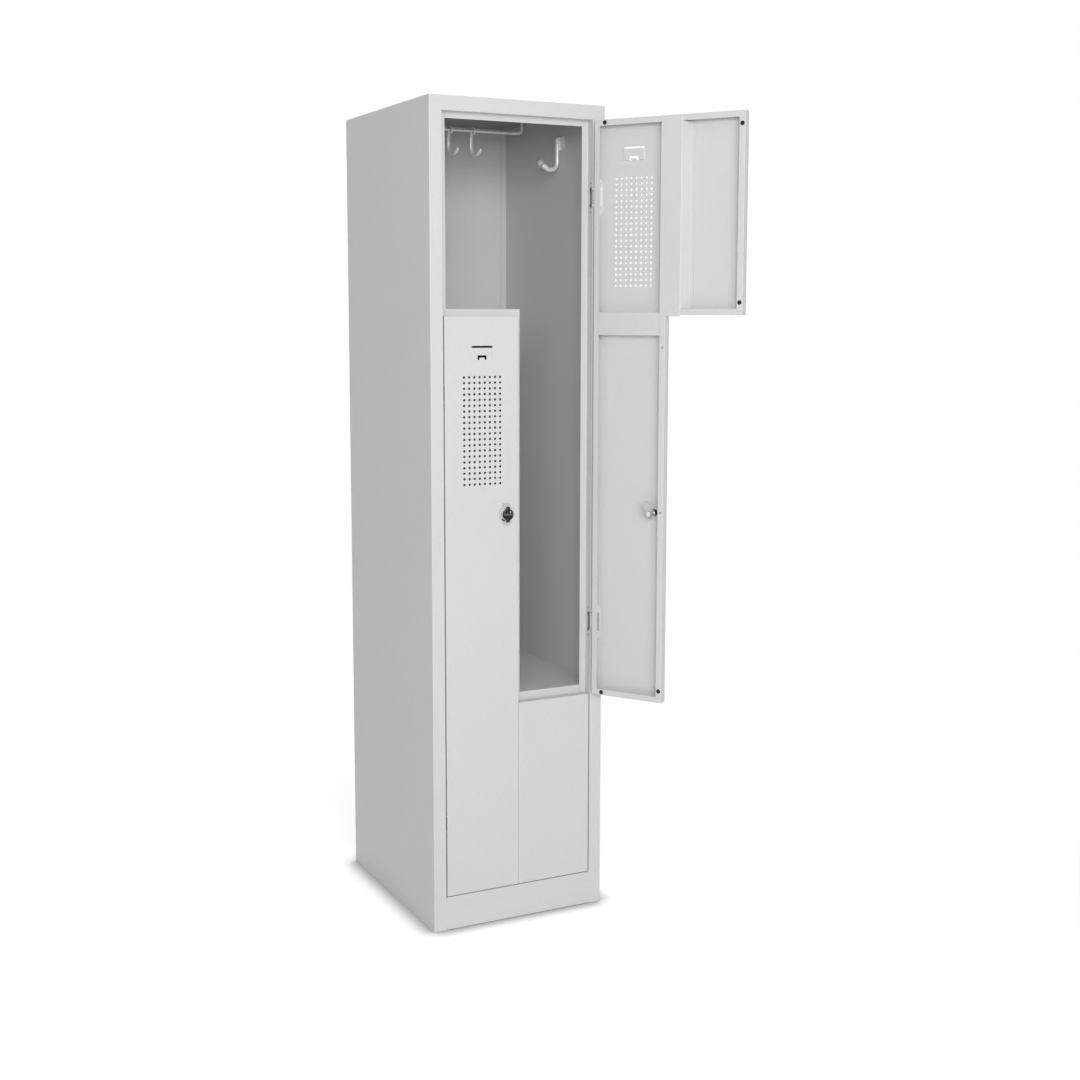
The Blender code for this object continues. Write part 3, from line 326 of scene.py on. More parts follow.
in_grey = grey_coat, "carcass", "grey_coat"
side_low, side_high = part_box("side_panel_left")
LEFT, FRONT, TOP = side_low.x, side_low.y, side_high.z
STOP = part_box("partition_stop")[0].y
STILE = side_high.x - LEFT - STOP_WIDTH
for side, word in ((-1, "left"), (1, "right")):
    edge, inner = -LEFT - half, -LEFT - STILE + half
    behind = side_high.y - half
    corners = [(edge - BACK_FOLD, behind), (edge, behind), (edge, FRONT + half),
               (inner, FRONT + half), (inner, STOP + half),
               (inner - half - STOP_WIDTH, STOP + half)]
    line = fold_line([(side * x, y) for x, y in corners], BEND)
    rebate = line[np.isclose(abs(line[:, 1]), inner)]
    punch_lines = FRONT + spots_around(PUNCH_BACK, PUNCH_STEP)
    punch_s = np.interp(punch_lines, rebate[:, 2], rebate[:, 0])
    heights = [sum(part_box(f"hinge_bracket_{word}_{level}"), Vector()).z / 2
               for level in ("lower", "upper")]
    along = [(0, TOP - ROOF_NOTCH, TOP)]
    for height in heights:
        along.append((height - SLOT_HALF, height + SLOT_HALF))
        along += [spots_around(height + way * PUNCH_OFFSET, PUNCH_STEP) for way in (-1, 1)]

    def opened(x, y, z):
        """The slots in the rebate, and the notch where the roof's edge passes."""
        in_rebate = (abs(abs(x) - inner) < SHEET / 10) & (y < FRONT + SLOT_END)
        slots = (abs(z - heights[0]) < SLOT_HALF) | (abs(z - heights[1]) < SLOT_HALF)
        notch = (abs(x) < inner + SHEET / 10) & (z > TOP - ROOF_NOTCH)
        return (y > FRONT + BEND) & (in_rebate & slots | notch)

    punched = [(punch_s[3], height + way * PUNCH_OFFSET) for height in heights for way in (-1, 1)]
    sheet = folded(line, lines(*along), "Z", opened, punched, punch_s)
    piece(f"side_sheet_{word}", sheet, *in_grey, [f"side_panel_{word}"])


# Top rail and plinth: sheets folded like the stiles and welded between them. Their stops
# end short of the stiles' stops, and the plinth's foot flange lies on the floor.
rail_low, rail_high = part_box("top_rail")
foot_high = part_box("plinth")[1]
RAIL_STOP = 0.0125
FOOT = 0.026
rail_ledge = rail_low.z + RAIL_STOP + half
foot_ledge = foot_high.z - RAIL_STOP - half
front, behind = FRONT + half, STOP + half
for node_name, corners in (
        ("top_rail", [(front, rail_high.z), (front, rail_ledge), (behind, rail_ledge),
                      (behind, rail_low.z)]),
        ("plinth", [(FRONT + FOOT, half), (front, half), (front, foot_ledge), (behind, foot_ledge),
                    (behind, foot_high.z)])):
    line = fold_line(corners, BEND)
    ledge = line[np.isclose(line[:, 2], corners[-2][1])]
    end_s = np.interp(STOP - RIM_GAP, ledge[:, 1], ledge[:, 0])
    along = lines((rail_low.x, rail_high.x), (side_high.x + RIM_GAP, -side_high.x - RIM_GAP))

    def ends_cut(y, z, x):
        """Beyond the stiles' stops only the part in front of them is left."""
        return (y > STOP - RIM_GAP) & (abs(x) > -side_high.x - RIM_GAP)

    sheet = folded(line, along, "X", ends_cut, extra=[end_s])
    piece(f"{node_name}_sheet", sheet, *in_grey, [node_name])


# Frame welds: filler run into the grooves between the stiles and the ends of the top rail and
# plinth, and ground flush before coating, so that the frame looks like one piece.
def filler(low_x, high_x, low_z, high_z):
    """A bar behind the front face: the four corners of its section at both ends."""
    y, z, x = np.meshgrid((FRONT, FRONT + SHEET), (low_z, high_z), (low_x, high_x), indexing="ij")
    return np.stack([x, y, z], -1).reshape(-1, 3), np.array(
        [(0, 1, 3, 2), (4, 6, 7, 5), (0, 2, 6, 4), (1, 5, 7, 3), (0, 4, 5, 1), (2, 3, 7, 6)])


def together(*parts):
    """Several (points, faces) as one, with the later faces' numbers moved on."""
    starts = np.cumsum([0] + [len(points) for points, _ in parts])
    return (np.vstack([points for points, _ in parts]),
            np.vstack([faces + start for (_, faces), start in zip(parts, starts)]))


groove = (LEFT + STILE - half - BEND, rail_low.x)
piece("frame_welds", together(*[
    filler(*span, *heights) for span in (groove, (-groove[1], -groove[0]))
    for heights in ((0, foot_ledge - BEND), (rail_ledge + BEND, rail_high.z))]), *in_grey, [])


# Roof: a shallow tray of the same sheet, folded down on all four sides and welded between
# the side panels. The spray hardly reaches its underside, where the coat is thin and dark.
ROOF_BEND = 0.0018
CORNER_ZONE = 0.016


def tray_rings(radius, depth, lip=0, punched=()):
    """Section round a tray's edge, as rows of (inset, depth, inner inset, inner depth, fold).

    A quarter circle turns the face into the side, and where there is a lip a second one
    turns the side into it. The inner skin's circles have the same middles and are a sheet
    smaller.
    """
    turn = np.linspace(0, math.pi / 2, BEND_STEPS + 1)
    share = np.sin(2 * turn)
    inner = radius - SHEET
    rows = [(radius * (1 - np.sin(turn)), radius * (1 - np.cos(turn)),
             radius - inner * np.sin(turn), radius - inner * np.cos(turn), share)]
    if lip:
        start, inner = depth - BEND, BEND - SHEET
        side = np.array([radius + HOLD, SLOT_END, start - HOLD])
        lip_lines = lines((BEND + HOLD, lip), punched)
        rows += [(0, side, SHEET, side, 0),
                 (BEND * (1 - np.cos(turn)), start + BEND * np.sin(turn),
                  BEND - inner * np.cos(turn), start + inner * np.sin(turn), share),
                 (lip_lines, depth, lip_lines, depth - SHEET, 0)]
    else:
        side = np.array([radius + HOLD, depth])
        rows.append((0, side, SHEET, side, 0))
    return np.vstack([np.column_stack(np.broadcast_arrays(*row)) for row in rows])


def tray(u, w, radius, rings, formed=None, ring_cut=None, spots=()):
    """A folded tray in its own frame: u across, v back from the face, w along.

    The face is the grid of u and w lines; formed(u, w, kept) moves its lines and opens its
    holes, and says how far it is pressed back. Round it, each ring repeats the face's border:
    the corner zones are stretched so that the corners follow the mitre, and everything
    between keeps its place.
    """
    low, high = np.array([u[0], w[0]]) - radius, np.array([u[-1], w[-1]]) + radius
    grid_u, grid_w = np.meshgrid(u, w, indexing="ij")
    kept = np.ones((len(u) - 1, len(w) - 1), bool)
    depth = formed(grid_u, grid_w, kept) if formed else np.zeros_like(grid_u)
    m, n = grid_u.shape
    i = np.concatenate([np.arange(m), np.full(n - 2, m - 1), np.arange(m - 1, -1, -1),
                        np.full(n - 2, 0)])
    j = np.concatenate([np.full(m, 0), np.arange(1, n - 1), np.full(m, n - 1),
                        np.arange(n - 2, 0, -1)])

    def carried(border, a, b, insets):
        """The border's points at each ring's inset."""
        knots = a + radius, a + CORNER_ZONE, b - CORNER_ZONE, b - radius
        return np.stack([np.interp(border, knots, (a + inset, *knots[1:3], b - inset))
                         for inset in insets])

    count = len(i)
    ring_kept = np.ones((len(rings) - 1, count), bool)
    skins = []
    for face_depth, inset, down in ((0, 0, 1), (SHEET, 2, 3)):
        ring_u, ring_w = (carried(grid[i, j], low[k], high[k], rings[:, inset])
                          for k, grid in enumerate((grid_u, grid_w)))
        if ring_cut and not skins:
            middle = [halfway(grid + np.roll(grid, -1, 1)) / 2 for grid in (ring_u, ring_w)]
            ring_kept &= ~ring_cut(*middle, halfway(rings[:, 1])[:, None])
        if spots:
            pierce(ring_u, ring_w, ring_kept[:, :-1], spots, LIP_STEP, PUNCH_RADIUS)
        face = np.stack([grid_u, depth + face_depth, grid_w], -1).reshape(-1, 3)
        ring_v = np.broadcast_to(rings[:, down][:, None], ring_u.shape)
        skins.append(np.vstack([face, np.stack([ring_u, ring_v, ring_w], -1)[1:].reshape(-1, 3)]))
    number = np.vstack([i * n + j, m * n + np.arange((len(rings) - 1) * count).reshape(-1, count)])
    after = np.roll(number, -1, 1)
    border = np.stack([number[1:], after[1:], after[:-1], number[:-1]], -1)[ring_kept]
    fold = np.concatenate([np.zeros(m * n), np.repeat(rings[1:, 4], count)])
    return *two_skins(*skins, np.vstack([cells(kept), border])), np.tile(fold, 2)


def along_edge(low, high, radius, *inside):
    """Face lines of a tray between two edges, with one beside each fold."""
    start, end = low + radius, high - radius
    return lines((start, start + HOLD, end - HOLD, end), *inside)


roof_low, roof_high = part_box("roof_panel")
roof_grid = (along_edge(roof_low[k], roof_high[k], ROOF_BEND) for k in (0, 1))
points, faces, fold = tray(*roof_grid, ROOF_BEND, tray_rings(ROOF_BEND, roof_high.z - roof_low.z))
under = (abs(points[:, 1] - SHEET) < SAME) & (np.arange(len(points)) >= len(points) // 2)
fold = np.where(under, -1.0, fold)
points = np.column_stack([points[:, 0], points[:, 2], roof_high.z - points[:, 1]])
piece("roof_sheet", (points, faces, fold), *in_grey, ["roof_panel"])


# Back: one sheet spot-welded to the side panels' folds. Each weld leaves a shallow round
# dimple in the coat, in a row down either side.
WELD_PITCH = 0.150
WELD_RADIUS = 0.0035
WELD_DEEP = 0.0003
WELD_IN = 0.008
back_low, back_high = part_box("back_panel")
count = round((back_high.z - back_low.z) / WELD_PITCH)
weld_z = back_low.z + (np.arange(count) + 0.5) * (back_high.z - back_low.z) / count
near = WELD_RADIUS * np.linspace(-1, 1, 7)
columns = back_low.x + WELD_IN + near, back_high.x - WELD_IN + near
x, z = np.meshgrid(lines((back_low.x, back_high.x), *columns),
                   lines((back_low.z, back_high.z), np.add.outer(weld_z, near)), indexing="ij")
down = z - weld_z[np.argmin(abs(z[..., None] - weld_z), -1)]
from_weld = np.hypot(abs(x) - (back_high.x - WELD_IN), down)
dent = WELD_DEEP * np.clip(1 - (from_weld / WELD_RADIUS) ** 2, 0, 1)
skins = placed("Y", x, z, back_high.y - dent), placed("Y", x, z, back_low.y)
everywhere = np.ones((x.shape[0] - 1, x.shape[1] - 1), bool)
piece("back_sheet", two_skins(*skins, cells(everywhere)), *in_grey, ["back_panel"])


# Floor and shelves: sheets folded down at the front as the stop that a door closes on, and
# at the back for stiffness. They are welded to the side panels.
SHELF_FOLD = 0.012
strip_end, wall_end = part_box("partition_stop")[1].x, -side_high.x - RIM_GAP
for name, node_name, reach in (("floor", "floor_panel", ()),
                               ("upper_shelf", "upper_shelf", (-wall_end, strip_end)),
                               ("lower_shelf", "lower_shelf", (-strip_end, wall_end))):
    low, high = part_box(node_name)
    front, behind, upper = low.y + half, high.y - half, high.z - half
    line = fold_line([(front, low.z), (front, upper), (behind, upper),
                      (behind, upper + half - SHELF_FOLD)], BEND)

    def lip_cut(y, z, x):
        """The front stop is only as long as the opening is wide."""
        return (y < STOP + BEND + HOLD) & ((x < reach[0]) | (x > reach[1]))

    sheet = folded(line, lines((low.x, high.x), reach), "X", lip_cut if reach else None)
    piece(f"{name}_sheet", sheet, *in_grey, [node_name])


# Partition: a flat wall between the two tall parts, and the strip welded along its front
# edge that both doors close on. Their edges are broken by the coat.
EDGE_BREAK = 0.00025


def wrapped(grid, flip=False):
    """Points and cells of closed rings in a row. A cell goes from a ring's point to the next one
    round and then to the next ring, or the other way about if it is flipped."""
    number = np.arange(grid.size // 3).reshape(grid.shape[:2])
    right = np.roll(number, -1, 1)
    quads = np.stack([number[:-1], right[:-1], right[1:], number[1:]], -1).reshape(-1, 4)
    return grid.reshape(-1, 3), quads[:, [0, 3, 2, 1]] if flip else quads


def flat_sheet(low, high, thin):
    """A flat sheet with its long edges broken: rings of four corners follow each other along
    the thin axis, and the first and the last are drawn in by as much as they are near."""
    inset = np.array([EDGE_BREAK, 0, 0, EDGE_BREAK])[:, None]
    out = np.zeros((4, 4, 3))
    level = np.repeat([low[thin], high[thin]], 2) + EDGE_BREAK * np.array([0, 1, -1, 0])
    out[..., thin] = level[:, None]
    for far, axis in zip(((0, 1, 1, 0), (0, 0, 1, 1)), [k for k in range(3) if k != thin]):
        out[..., axis] = np.where(far, high[axis] - inset, low[axis] + inset)
    points, faces = wrapped(out)
    faces = np.vstack([faces, [(3, 2, 1, 0), (12, 13, 14, 15)]])
    return points, faces[:, ::-1] if thin == 1 else faces


for name, node_name, thin in (("partition_sheet", "partition_wall", 0),
                              ("partition_strip", "partition_stop", 1)):
    piece(name, flat_sheet(*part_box(node_name), thin), *in_grey, [node_name])


# Hinge brackets and pins: zinc-plated and oiled, riveted inside the stiles, where only a dark
# glimpse of them shows through the slots. The frame's own solids are right and keep their shape.
ZINC = (0.20, 0.20, 0.205)


def fine_finish(name, colour, roughness, metallic, tones, gloss, bump, left=None, drawn=None):
    """A smooth finish: its colour times one or two noises, noise for its roughness, and one bump.

    Tones and gloss are spread's scale, low, high and detail. Where the fold share is 1, left is
    how much of the tone is left. The second tone and the bump may be drawn out along z.
    """
    item, tree, shader, where = shader_of(name, colour, roughness, metallic)
    along = where
    if drawn:
        stretch = {"Vector": where, "Scale": (1.0, 1.0, drawn)}
        along = node(tree, "Mapping", stretch).outputs["Vector"]
    factors = [spread(tree, at, *tone) for at, tone in zip((where, along), tones)]
    if left:
        factors.append(mapped(tree, fold_share(tree), 1.0, left))
    tinted(tree, shader, colour, factors)
    tree.links.new(spread(tree, where, *gloss), shader.inputs["Roughness"])
    bumped(tree, shader, along, bump)
    return item


def zinc_plate(name, colour, metallic, left=None):
    """Rolled steel with a thin zinc layer: fine lengthwise lines and cloudy spangles. A thicker
    passivated layer is paler and scatters more, with less of the metal's mirror."""
    return fine_finish(name, colour, 0.35, metallic, ((160, 0.94, 1.05), (2400, 0.95, 1.05)),
                       (220, 0.30, 0.44, 3.0), (3000, 2.0, 0.2, 0.00004), left, 0.06)


zinc = zinc_plate("oiled_zinc_steel", ZINC, 0.9)
for name, item in frame["nodes"].items():
    if name.startswith(("hinge_bracket", "hinge_pin")):
        item.data.materials.clear()
        item.data.materials.append(zinc)


# Doors: a tall leaf and a short wing, each a tray folded back on four sides with a lip,
# made the same for both compartments and turned upside down for the right one. The leaf is
# punched with eight by twenty vents, a card slot and a thumb cut.
DOOR_FOLD = 0.0015
DOOR_LIP = 0.013
LIP_STEP = 0.0012
LIP_PUNCH = 0.0065       # lip's edge to the two small holes
LIP_HOLES = (0.488, 0.846)               # their heights in the leaf
VENT_PITCH = 0.0121
VENT_RADIUS = 0.00265
LOCK_HOLE = 0.00375
VENT_COLUMNS, VENT_ROWS = 8, 20
VENTS_BELOW = 0.1815     # card slot's top edge to the middle of the vents
CARD_DROP = {"left": 0.063, "right": 0.0585}
CARD_PRESS = {"left": 0.0003, "right": 0.0022}
CARD_LINES = {12: 0.0241, 13: 0.0243, 4: 0.0060, 5: 0.0106}  # vent line's number to its new place
SLOT_FOOT, THUMB_TOP, THUMB_FOOT = 0.0042, 0.0201, 0.0249    # below the card slot's top
SLOPE_TOP, SLOPE_FOOT = 0.0277, 0.0295
CARD_ROWS = -0.0020, 0.0, SLOT_FOOT, THUMB_TOP, THUMB_FOOT, SLOPE_TOP, SLOPE_FOOT, 0.0312
HINGE_INSET = 0.1635
left_low, left_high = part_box("door_left_leaf")
leaf_axis = joints["door_left_hinge"]["pos_m"]
LEAF_U = left_low.x - leaf_axis[0], left_high.x - leaf_axis[0]
LEAF_TALL = left_high.z - left_low.z
FACE_V = left_low.y - leaf_axis[1]
DOOR_DEPTH = left_high.y - left_low.y
wing_low, wing_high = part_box("door_left_wing")
WING_U = wing_low.x - leaf_axis[0], wing_high.x - leaf_axis[0]
WING_TALL = wing_high.z - wing_low.z
hinge_w = (HINGE_INSET, LEAF_TALL - HINGE_INSET)


def door_piece(word, name, part, material, slot, nodes, sharp=32, rides="door"):
    """A piece made in its door's own frame, which rides on the door or on its lock. The left
    door is only moved to its place, and the right one is turned upside down and swung open."""
    points, *rest = part
    axis = joints[f"door_{word}_hinge"]["pos_m"]
    if word == "left":
        points = points + np.array([axis[0], axis[1], left_low.z])
    else:
        x, y = turned(-points[:, 0], points[:, 1], right_swing)
        points = np.column_stack([axis[0] + x, axis[1] + y, right_top - points[:, 2]])
    piece(name, (points, *rest), material, f"{rides}_{word}", slot, nodes, sharp)


right_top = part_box("door_right_leaf")[1].z
right_swing = math.radians(-joints["door_right_hinge"]["range_deg"][0])
lock_height = joints["lock_left_turn"]["pos_m"][2]
lock_w = {"left": lock_height - left_low.z, "right": right_top - lock_height}
lock_u = joints["lock_left_turn"]["pos_m"][0] - leaf_axis[0]
rings = tray_rings(DOOR_FOLD, DOOR_DEPTH, DOOR_LIP, spots_around(LIP_PUNCH, LIP_STEP))
step = VENT_PITCH / 6
for word, up in (("left", 1), ("right", -1)):
    card_top = (LEAF_TALL if up > 0 else 0) - up * CARD_DROP[word]
    vent_u, vent_w = sum(LEAF_U) / 2, card_top - up * VENTS_BELOW
    across = vent_u + step * np.arange(-3 * VENT_COLUMNS, 3 * VENT_COLUMNS + 1)
    down = vent_w + step * np.arange(-3 * VENT_ROWS, 3 * VENT_ROWS + 1)
    hinge_edges = np.add.outer(hinge_w, (-SLOT_HALF, SLOT_HALF)).ravel()
    free = hinge_edges[(hinge_edges < down[0]) | (hinge_edges > down[-1])]
    lip_hole_w = spots_around(LIP_HOLES[0], LIP_STEP)
    u = along_edge(*LEAF_U, DOOR_FOLD, across, spots_around(lock_u, step))
    w = along_edge(0, LEAF_TALL, DOOR_FOLD, down, card_top - up * np.array(CARD_ROWS), free,
                   lip_hole_w, spots_around(lock_w[word], step))
    vents = [(column, row) for column in across[3::6] for row in down[3::6]]
    below_card = up * (card_top - w)

    def formed(grid_u, grid_w, kept):
        """Lines of the vents are bent onto the card slot's cuts, and the hinge edge's onto the
        strap slots; the vents and the lock's hole are pierced. Given back is how far the tongue
        below the card slot is pressed in: it slopes to the face at its foot."""
        rows = (below_card > -SAME) & (below_card < SLOPE_FOOT + SAME)
        at_card = u.copy()
        for number, offset in CARD_LINES.items():
            for way in (-1, 1):
                column = np.argmin(abs(u - (vent_u + way * number * step)))
                at_card[column] = vent_u + way * offset
        grid_u[:, rows] = at_card[:, None]
        x, d = abs(halfway(at_card) - vent_u)[:, None], halfway(below_card)[None, :]
        edge, side, thumb_in, thumb_out = (CARD_LINES[k] for k in (13, 12, 4, 5))
        gone = (x < edge) & (d < SLOT_FOOT) | (x > side) & (x < edge)
        gone |= (x < thumb_out) & (d > THUMB_TOP) & ((d < THUMB_FOOT) | (x > thumb_in))
        kept &= ~(gone & (d > 0) & (d < SLOPE_FOOT))
        pierce(grid_u, grid_w, kept, vents, step, VENT_RADIUS)
        pierce(grid_u, grid_w, kept, [(lock_u, lock_w[word])], step, LOCK_HOLE)
        for target in hinge_edges:
            grid_w[0, np.argmin(abs(w - target))] = target
        first = np.argmin(abs(w - (lock_w[word] - 3 * step)))
        grid_w[-1, first:first + 7] = spots_around(LIP_HOLES[1], LIP_STEP)
        knots = SLOT_FOOT / 2, SLOT_FOOT - 10 * SAME, SLOPE_TOP, SLOPE_FOOT
        back = CARD_PRESS[word] * np.interp(below_card, knots, (0, 1, 1, 0))
        return back * (abs(grid_u - vent_u) < side + SAME)

    def strap_slots(ring_u, ring_w, depth):
        """Openings in the hinge side's fold for the two straps."""
        slots = (abs(ring_w - hinge_w[0]) < SLOT_HALF) | (abs(ring_w - hinge_w[1]) < SLOT_HALF)
        return (ring_u < LEAF_U[0] + SHEET) & (depth > DOOR_FOLD) & (depth < SLOT_END) & slots

    small_holes = [(LEAF_U[1] - LIP_PUNCH, height) for height in LIP_HOLES]
    wing_grid = along_edge(*WING_U, DOOR_FOLD), along_edge(0, WING_TALL, DOOR_FOLD)
    for name, (points, *rest) in (
            ("leaf", tray(u, w, DOOR_FOLD, rings, formed, strap_slots, small_holes)),
            ("wing", tray(*wing_grid, DOOR_FOLD, tray_rings(DOOR_FOLD, DOOR_DEPTH, DOOR_LIP)))):
        points[:, 1] += FACE_V
        door_piece(word, f"{name}_sheet_{word}", (points, *rest), grey_coat, "grey_coat",
                   [f"door_{word}_{name}"])


# Joint plates: one folded sheet per door, spot-welded over the seam between leaf and wing
# and bent down onto the wing's face. It carries the wing.
PLATE_BRIDGE = 0.0345
PLATE_SLOPE = 0.013
PLATE_FOOT = 0.009
over = FACE_V + DOOR_DEPTH + RIM_GAP + half
under = FACE_V + SHEET + RIM_GAP + half
bend = LEAF_U[1] + PLATE_BRIDGE
line = fold_line([(LEAF_U[1] - DOOR_LIP, over), (bend, over), (bend + PLATE_SLOPE, under),
                  (bend + PLATE_SLOPE + PLATE_FOOT, under)], BEND)
ends = (DOOR_LIP + RIM_GAP, WING_TALL - DOOR_LIP - RIM_GAP)


def below_lips(u, v, w):
    """Where the plate dips between the lips it ends short of them."""
    return (v < over - half) & ((w < ends[0]) | (w > ends[1]))


plate = folded(line, lines((SHEET, WING_TALL + 3 * SHEET), ends), "Z", below_lips)
for word in ("left", "right"):
    door_piece(word, f"joint_plate_{word}", plate, grey_coat, "grey_coat",
               [f"door_{word}_joint_plate"])


# Cross bars: a channel welded across each leaf beside the wing's inner edge, so that the
# tall leaf doesn't twist.
BAR_TALL = 0.051
BAR_PAST = 0.0445
web, foot_v = FACE_V + DOOR_DEPTH - half, FACE_V + SHEET + RIM_GAP
end = WING_TALL + BAR_PAST - half
start = end - BAR_TALL + SHEET
line = fold_line([(foot_v, start), (web, start), (web, end), (foot_v, end)], BEND)
bar = folded(line, lines((LEAF_U[0] + DOOR_LIP + RIM_GAP, LEAF_U[1] - DOOR_LIP - RIM_GAP)), "X")
for word in ("left", "right"):
    door_piece(word, f"cross_bar_{word}", bar, grey_coat, "grey_coat", [f"door_{word}_cross_bar"])


# Hinge straps: zinc-plated goose necks. Each turns on its pin inside the stile, passes round
# the rebate's edge and through the leaf's slot, and is welded to the inside of its face. The
# part of the neck that goes into the stile is black with grease.
STRAP = 0.0015
EYE_IN, EYE_OUT = 0.0018, 0.0029
NECK_RADIUS = 0.00905
NECK_HALF = 0.020
ARM = 0.005
STRAP_LEAF_HALF = 0.040
STRAP_LEAF = 0.0095
STRAP_CHAMFER = 0.006
STRAP_BEND = 0.0011
EYE_BREAK = 0.0002
NECK_STEPS = 12
NECK_START = 0.85        # of the eye's radius: the strap starts inside the knuckles
SATIN = (0.85, 0.855, 0.86)
GREASY = 0.12            # how much of the zinc's tone is left under old grease
NECK_FILM = 0.42         # film on the neck outside the stile, as a share of the grease inside it
satin_zinc = zinc_plate("satin_zinc_steel", SATIN, 0.25)
strap_zinc = zinc_plate("greased_satin_zinc_steel", SATIN, 0.25, GREASY)


def circle(angles):
    """Points on a circle of radius 1: (cos, sin)."""
    return np.column_stack([np.cos(angles), np.sin(angles)])


def around(sides):
    """Even angles round a circle."""
    return 2 * math.pi * np.arange(sides) / sides


def tubes(profile, sides, spots):
    """A closed (radius, height) profile turned about an upright axis at each of the spots."""
    radius, height = np.array([*profile, profile[0]]).T[..., None]
    x, y = radius * circle(around(sides)).T[:, None]
    grid = np.stack(np.broadcast_arrays(x, y, height), -1)
    return together(*[wrapped(grid + spot) for spot in spots])


wall, face = (start + SHEET + RIM_GAP + STRAP / 2 for start in (LEAF_U[0], FACE_V))
neck = NECK_RADIUS * circle(np.radians(np.linspace(135, 40, NECK_STEPS)))
start = NECK_START * EYE_OUT * neck[0] / NECK_RADIUS
line = fold_line([start, *neck, (wall, neck[-1][1]), (wall, face), (wall + STRAP_LEAF, face)],
                 [0] * NECK_STEPS + [STRAP_BEND] * 2)
across = lines(line[:, 0])
window, end = NECK_HALF - ARM, np.array([STRAP_LEAF_HALF, STRAP_LEAF_HALF - STRAP_CHAMFER])
away = lines((-window, window, -NECK_HALF, NECK_HALF), end, -end)
mid_u, mid_v = (np.interp(halfway(across), line[:, 0], line[:, k])[:, None] for k in (1, 2))
mid_w = abs(halfway(away))[None, :]
on_leaf = mid_u > wall - STRAP / 2
arms = (mid_w > window) & (on_leaf | (mid_w < NECK_HALF))
strap_cells = cells(arms | on_leaf & (mid_v < face + STRAP))
round_eye = [(EYE_IN, EYE_BREAK), (EYE_IN, ARM - EYE_BREAK), (EYE_IN + EYE_BREAK, ARM),
             (EYE_OUT - EYE_BREAK, ARM), (EYE_OUT, ARM - EYE_BREAK), (EYE_OUT, EYE_BREAK),
             (EYE_OUT - EYE_BREAK, 0), (EYE_IN + EYE_BREAK, 0)]
s, w = np.meshgrid(across, away, indexing="ij")
u, v, normal_u, normal_v = (np.interp(s, line[:, 0], line[:, k]) for k in range(1, 5))
past = (u - (wall + STRAP_LEAF - STRAP_CHAMFER)) / STRAP_CHAMFER
limit = STRAP_LEAF_HALF - STRAP_CHAMFER * np.clip(past, 0, 1)
w = np.clip(w, -limit, limit)
greasy = np.select([u < -STRAP, u < wall - STRAP], [1.0, NECK_FILM], 0.0).ravel()
levels = {"left": ("lower", "upper"), "right": ("upper", "lower")}      # in the order of hinge_w
strap_at = [(word, *pair) for word in levels for pair in zip(levels[word], hinge_w)]
for word, level, middle in strap_at:
    skins = [np.stack([u + way * normal_u, v + way * normal_v, middle + w], -1)
             for way in (STRAP / 2, -STRAP / 2)]
    knuckles, rounds = tubes(round_eye, 20, [(0, 0, middle + window), (0, 0, middle - NECK_HALF)])
    strap = together(two_skins(*skins, strap_cells), (knuckles, rounds[:, ::-1]))
    grease = np.concatenate([greasy, greasy, np.ones(len(knuckles))])
    door_piece(word, f"strap_{word}_{level}", (*strap, grease), strap_zinc, "zinc_steel",
               [f"hinge_strap_{word}_{level}"])


# Bumpers: soft black rubber buttons pressed into the lips, five to a door, so that it shuts
# without a bang. Each has a thin flange under a dome with a small dimple.
BUMPER_TALL = 0.0022
BUMPER_RADIUS = 0.0048
FLANGE, DOME_FOOT = 0.0003, 0.0005       # the flange's rim, and where the dome starts on it
DOME_SUNK, DIMPLE_EDGE, DIMPLE_FLOOR = 0.0003, 0.0005, 0.0007        # below the whole height
DOME_WIDE, DIMPLE_AT, DIMPLE_WIDE = 0.93, 0.45, 0.22                 # shares of the radius
RUBBER = (0.018, 0.018, 0.019)
BLACK_SHINE = 0.28


def matte_black(name, colour, roughness, scale):
    """Moulded black with a faint grain and slightly uneven gloss."""
    item = fine_finish(name, colour, roughness, 0, ((120, 0.85, 1.25), (scale, 0.9, 1.15)),
                       (500, roughness - 0.06, roughness + 0.06, 3.0), (scale, 2.0, 0.3, 0.00005))
    shine = item.node_tree.nodes["Principled BSDF"].inputs["Specular IOR Level"]
    shine.default_value = BLACK_SHINE
    return item


def lathe(profile, sides):
    """(radius, depth) points turned about the v axis; radius 0 is a pole."""
    radius, depth = np.array(profile).T[..., None]
    x, z = radius * circle(around(sides)).T[:, None]
    return wrapped(np.stack(np.broadcast_arrays(x, depth, z), -1), True)


rubber = matte_black("black_rubber", RUBBER, 0.72, 1800)
arc = np.linspace(0, math.pi / 2, 8)
rise = BUMPER_TALL - DOME_FOOT - DOME_SUNK
dome = np.vstack([
    [(0, 0), (1, 0), (1, FLANGE), (DOME_WIDE, DOME_FOOT)],
    np.column_stack([DIMPLE_AT + DIMPLE_AT * np.cos(arc), DOME_FOOT + rise * np.sin(arc)]),
    [(DIMPLE_WIDE, BUMPER_TALL - DIMPLE_EDGE), (0, BUMPER_TALL - DIMPLE_FLOOR)]])
dome[:, 0] *= BUMPER_RADIUS
button, faces = lathe(dome, 28)
for word in ("left", "right"):
    for number in range(1, 6):
        low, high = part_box(f"bumper_left_{number}")
        centre = ((low.x + high.x) / 2 - leaf_axis[0], low.y - leaf_axis[1],
                  (low.z + high.z) / 2 - left_low.z)
        door_piece(word, f"rubber_stop_{word}_{number}", (button + centre, faces), rubber,
                   "black_rubber", [f"bumper_{word}_{number}"], sharp=50)


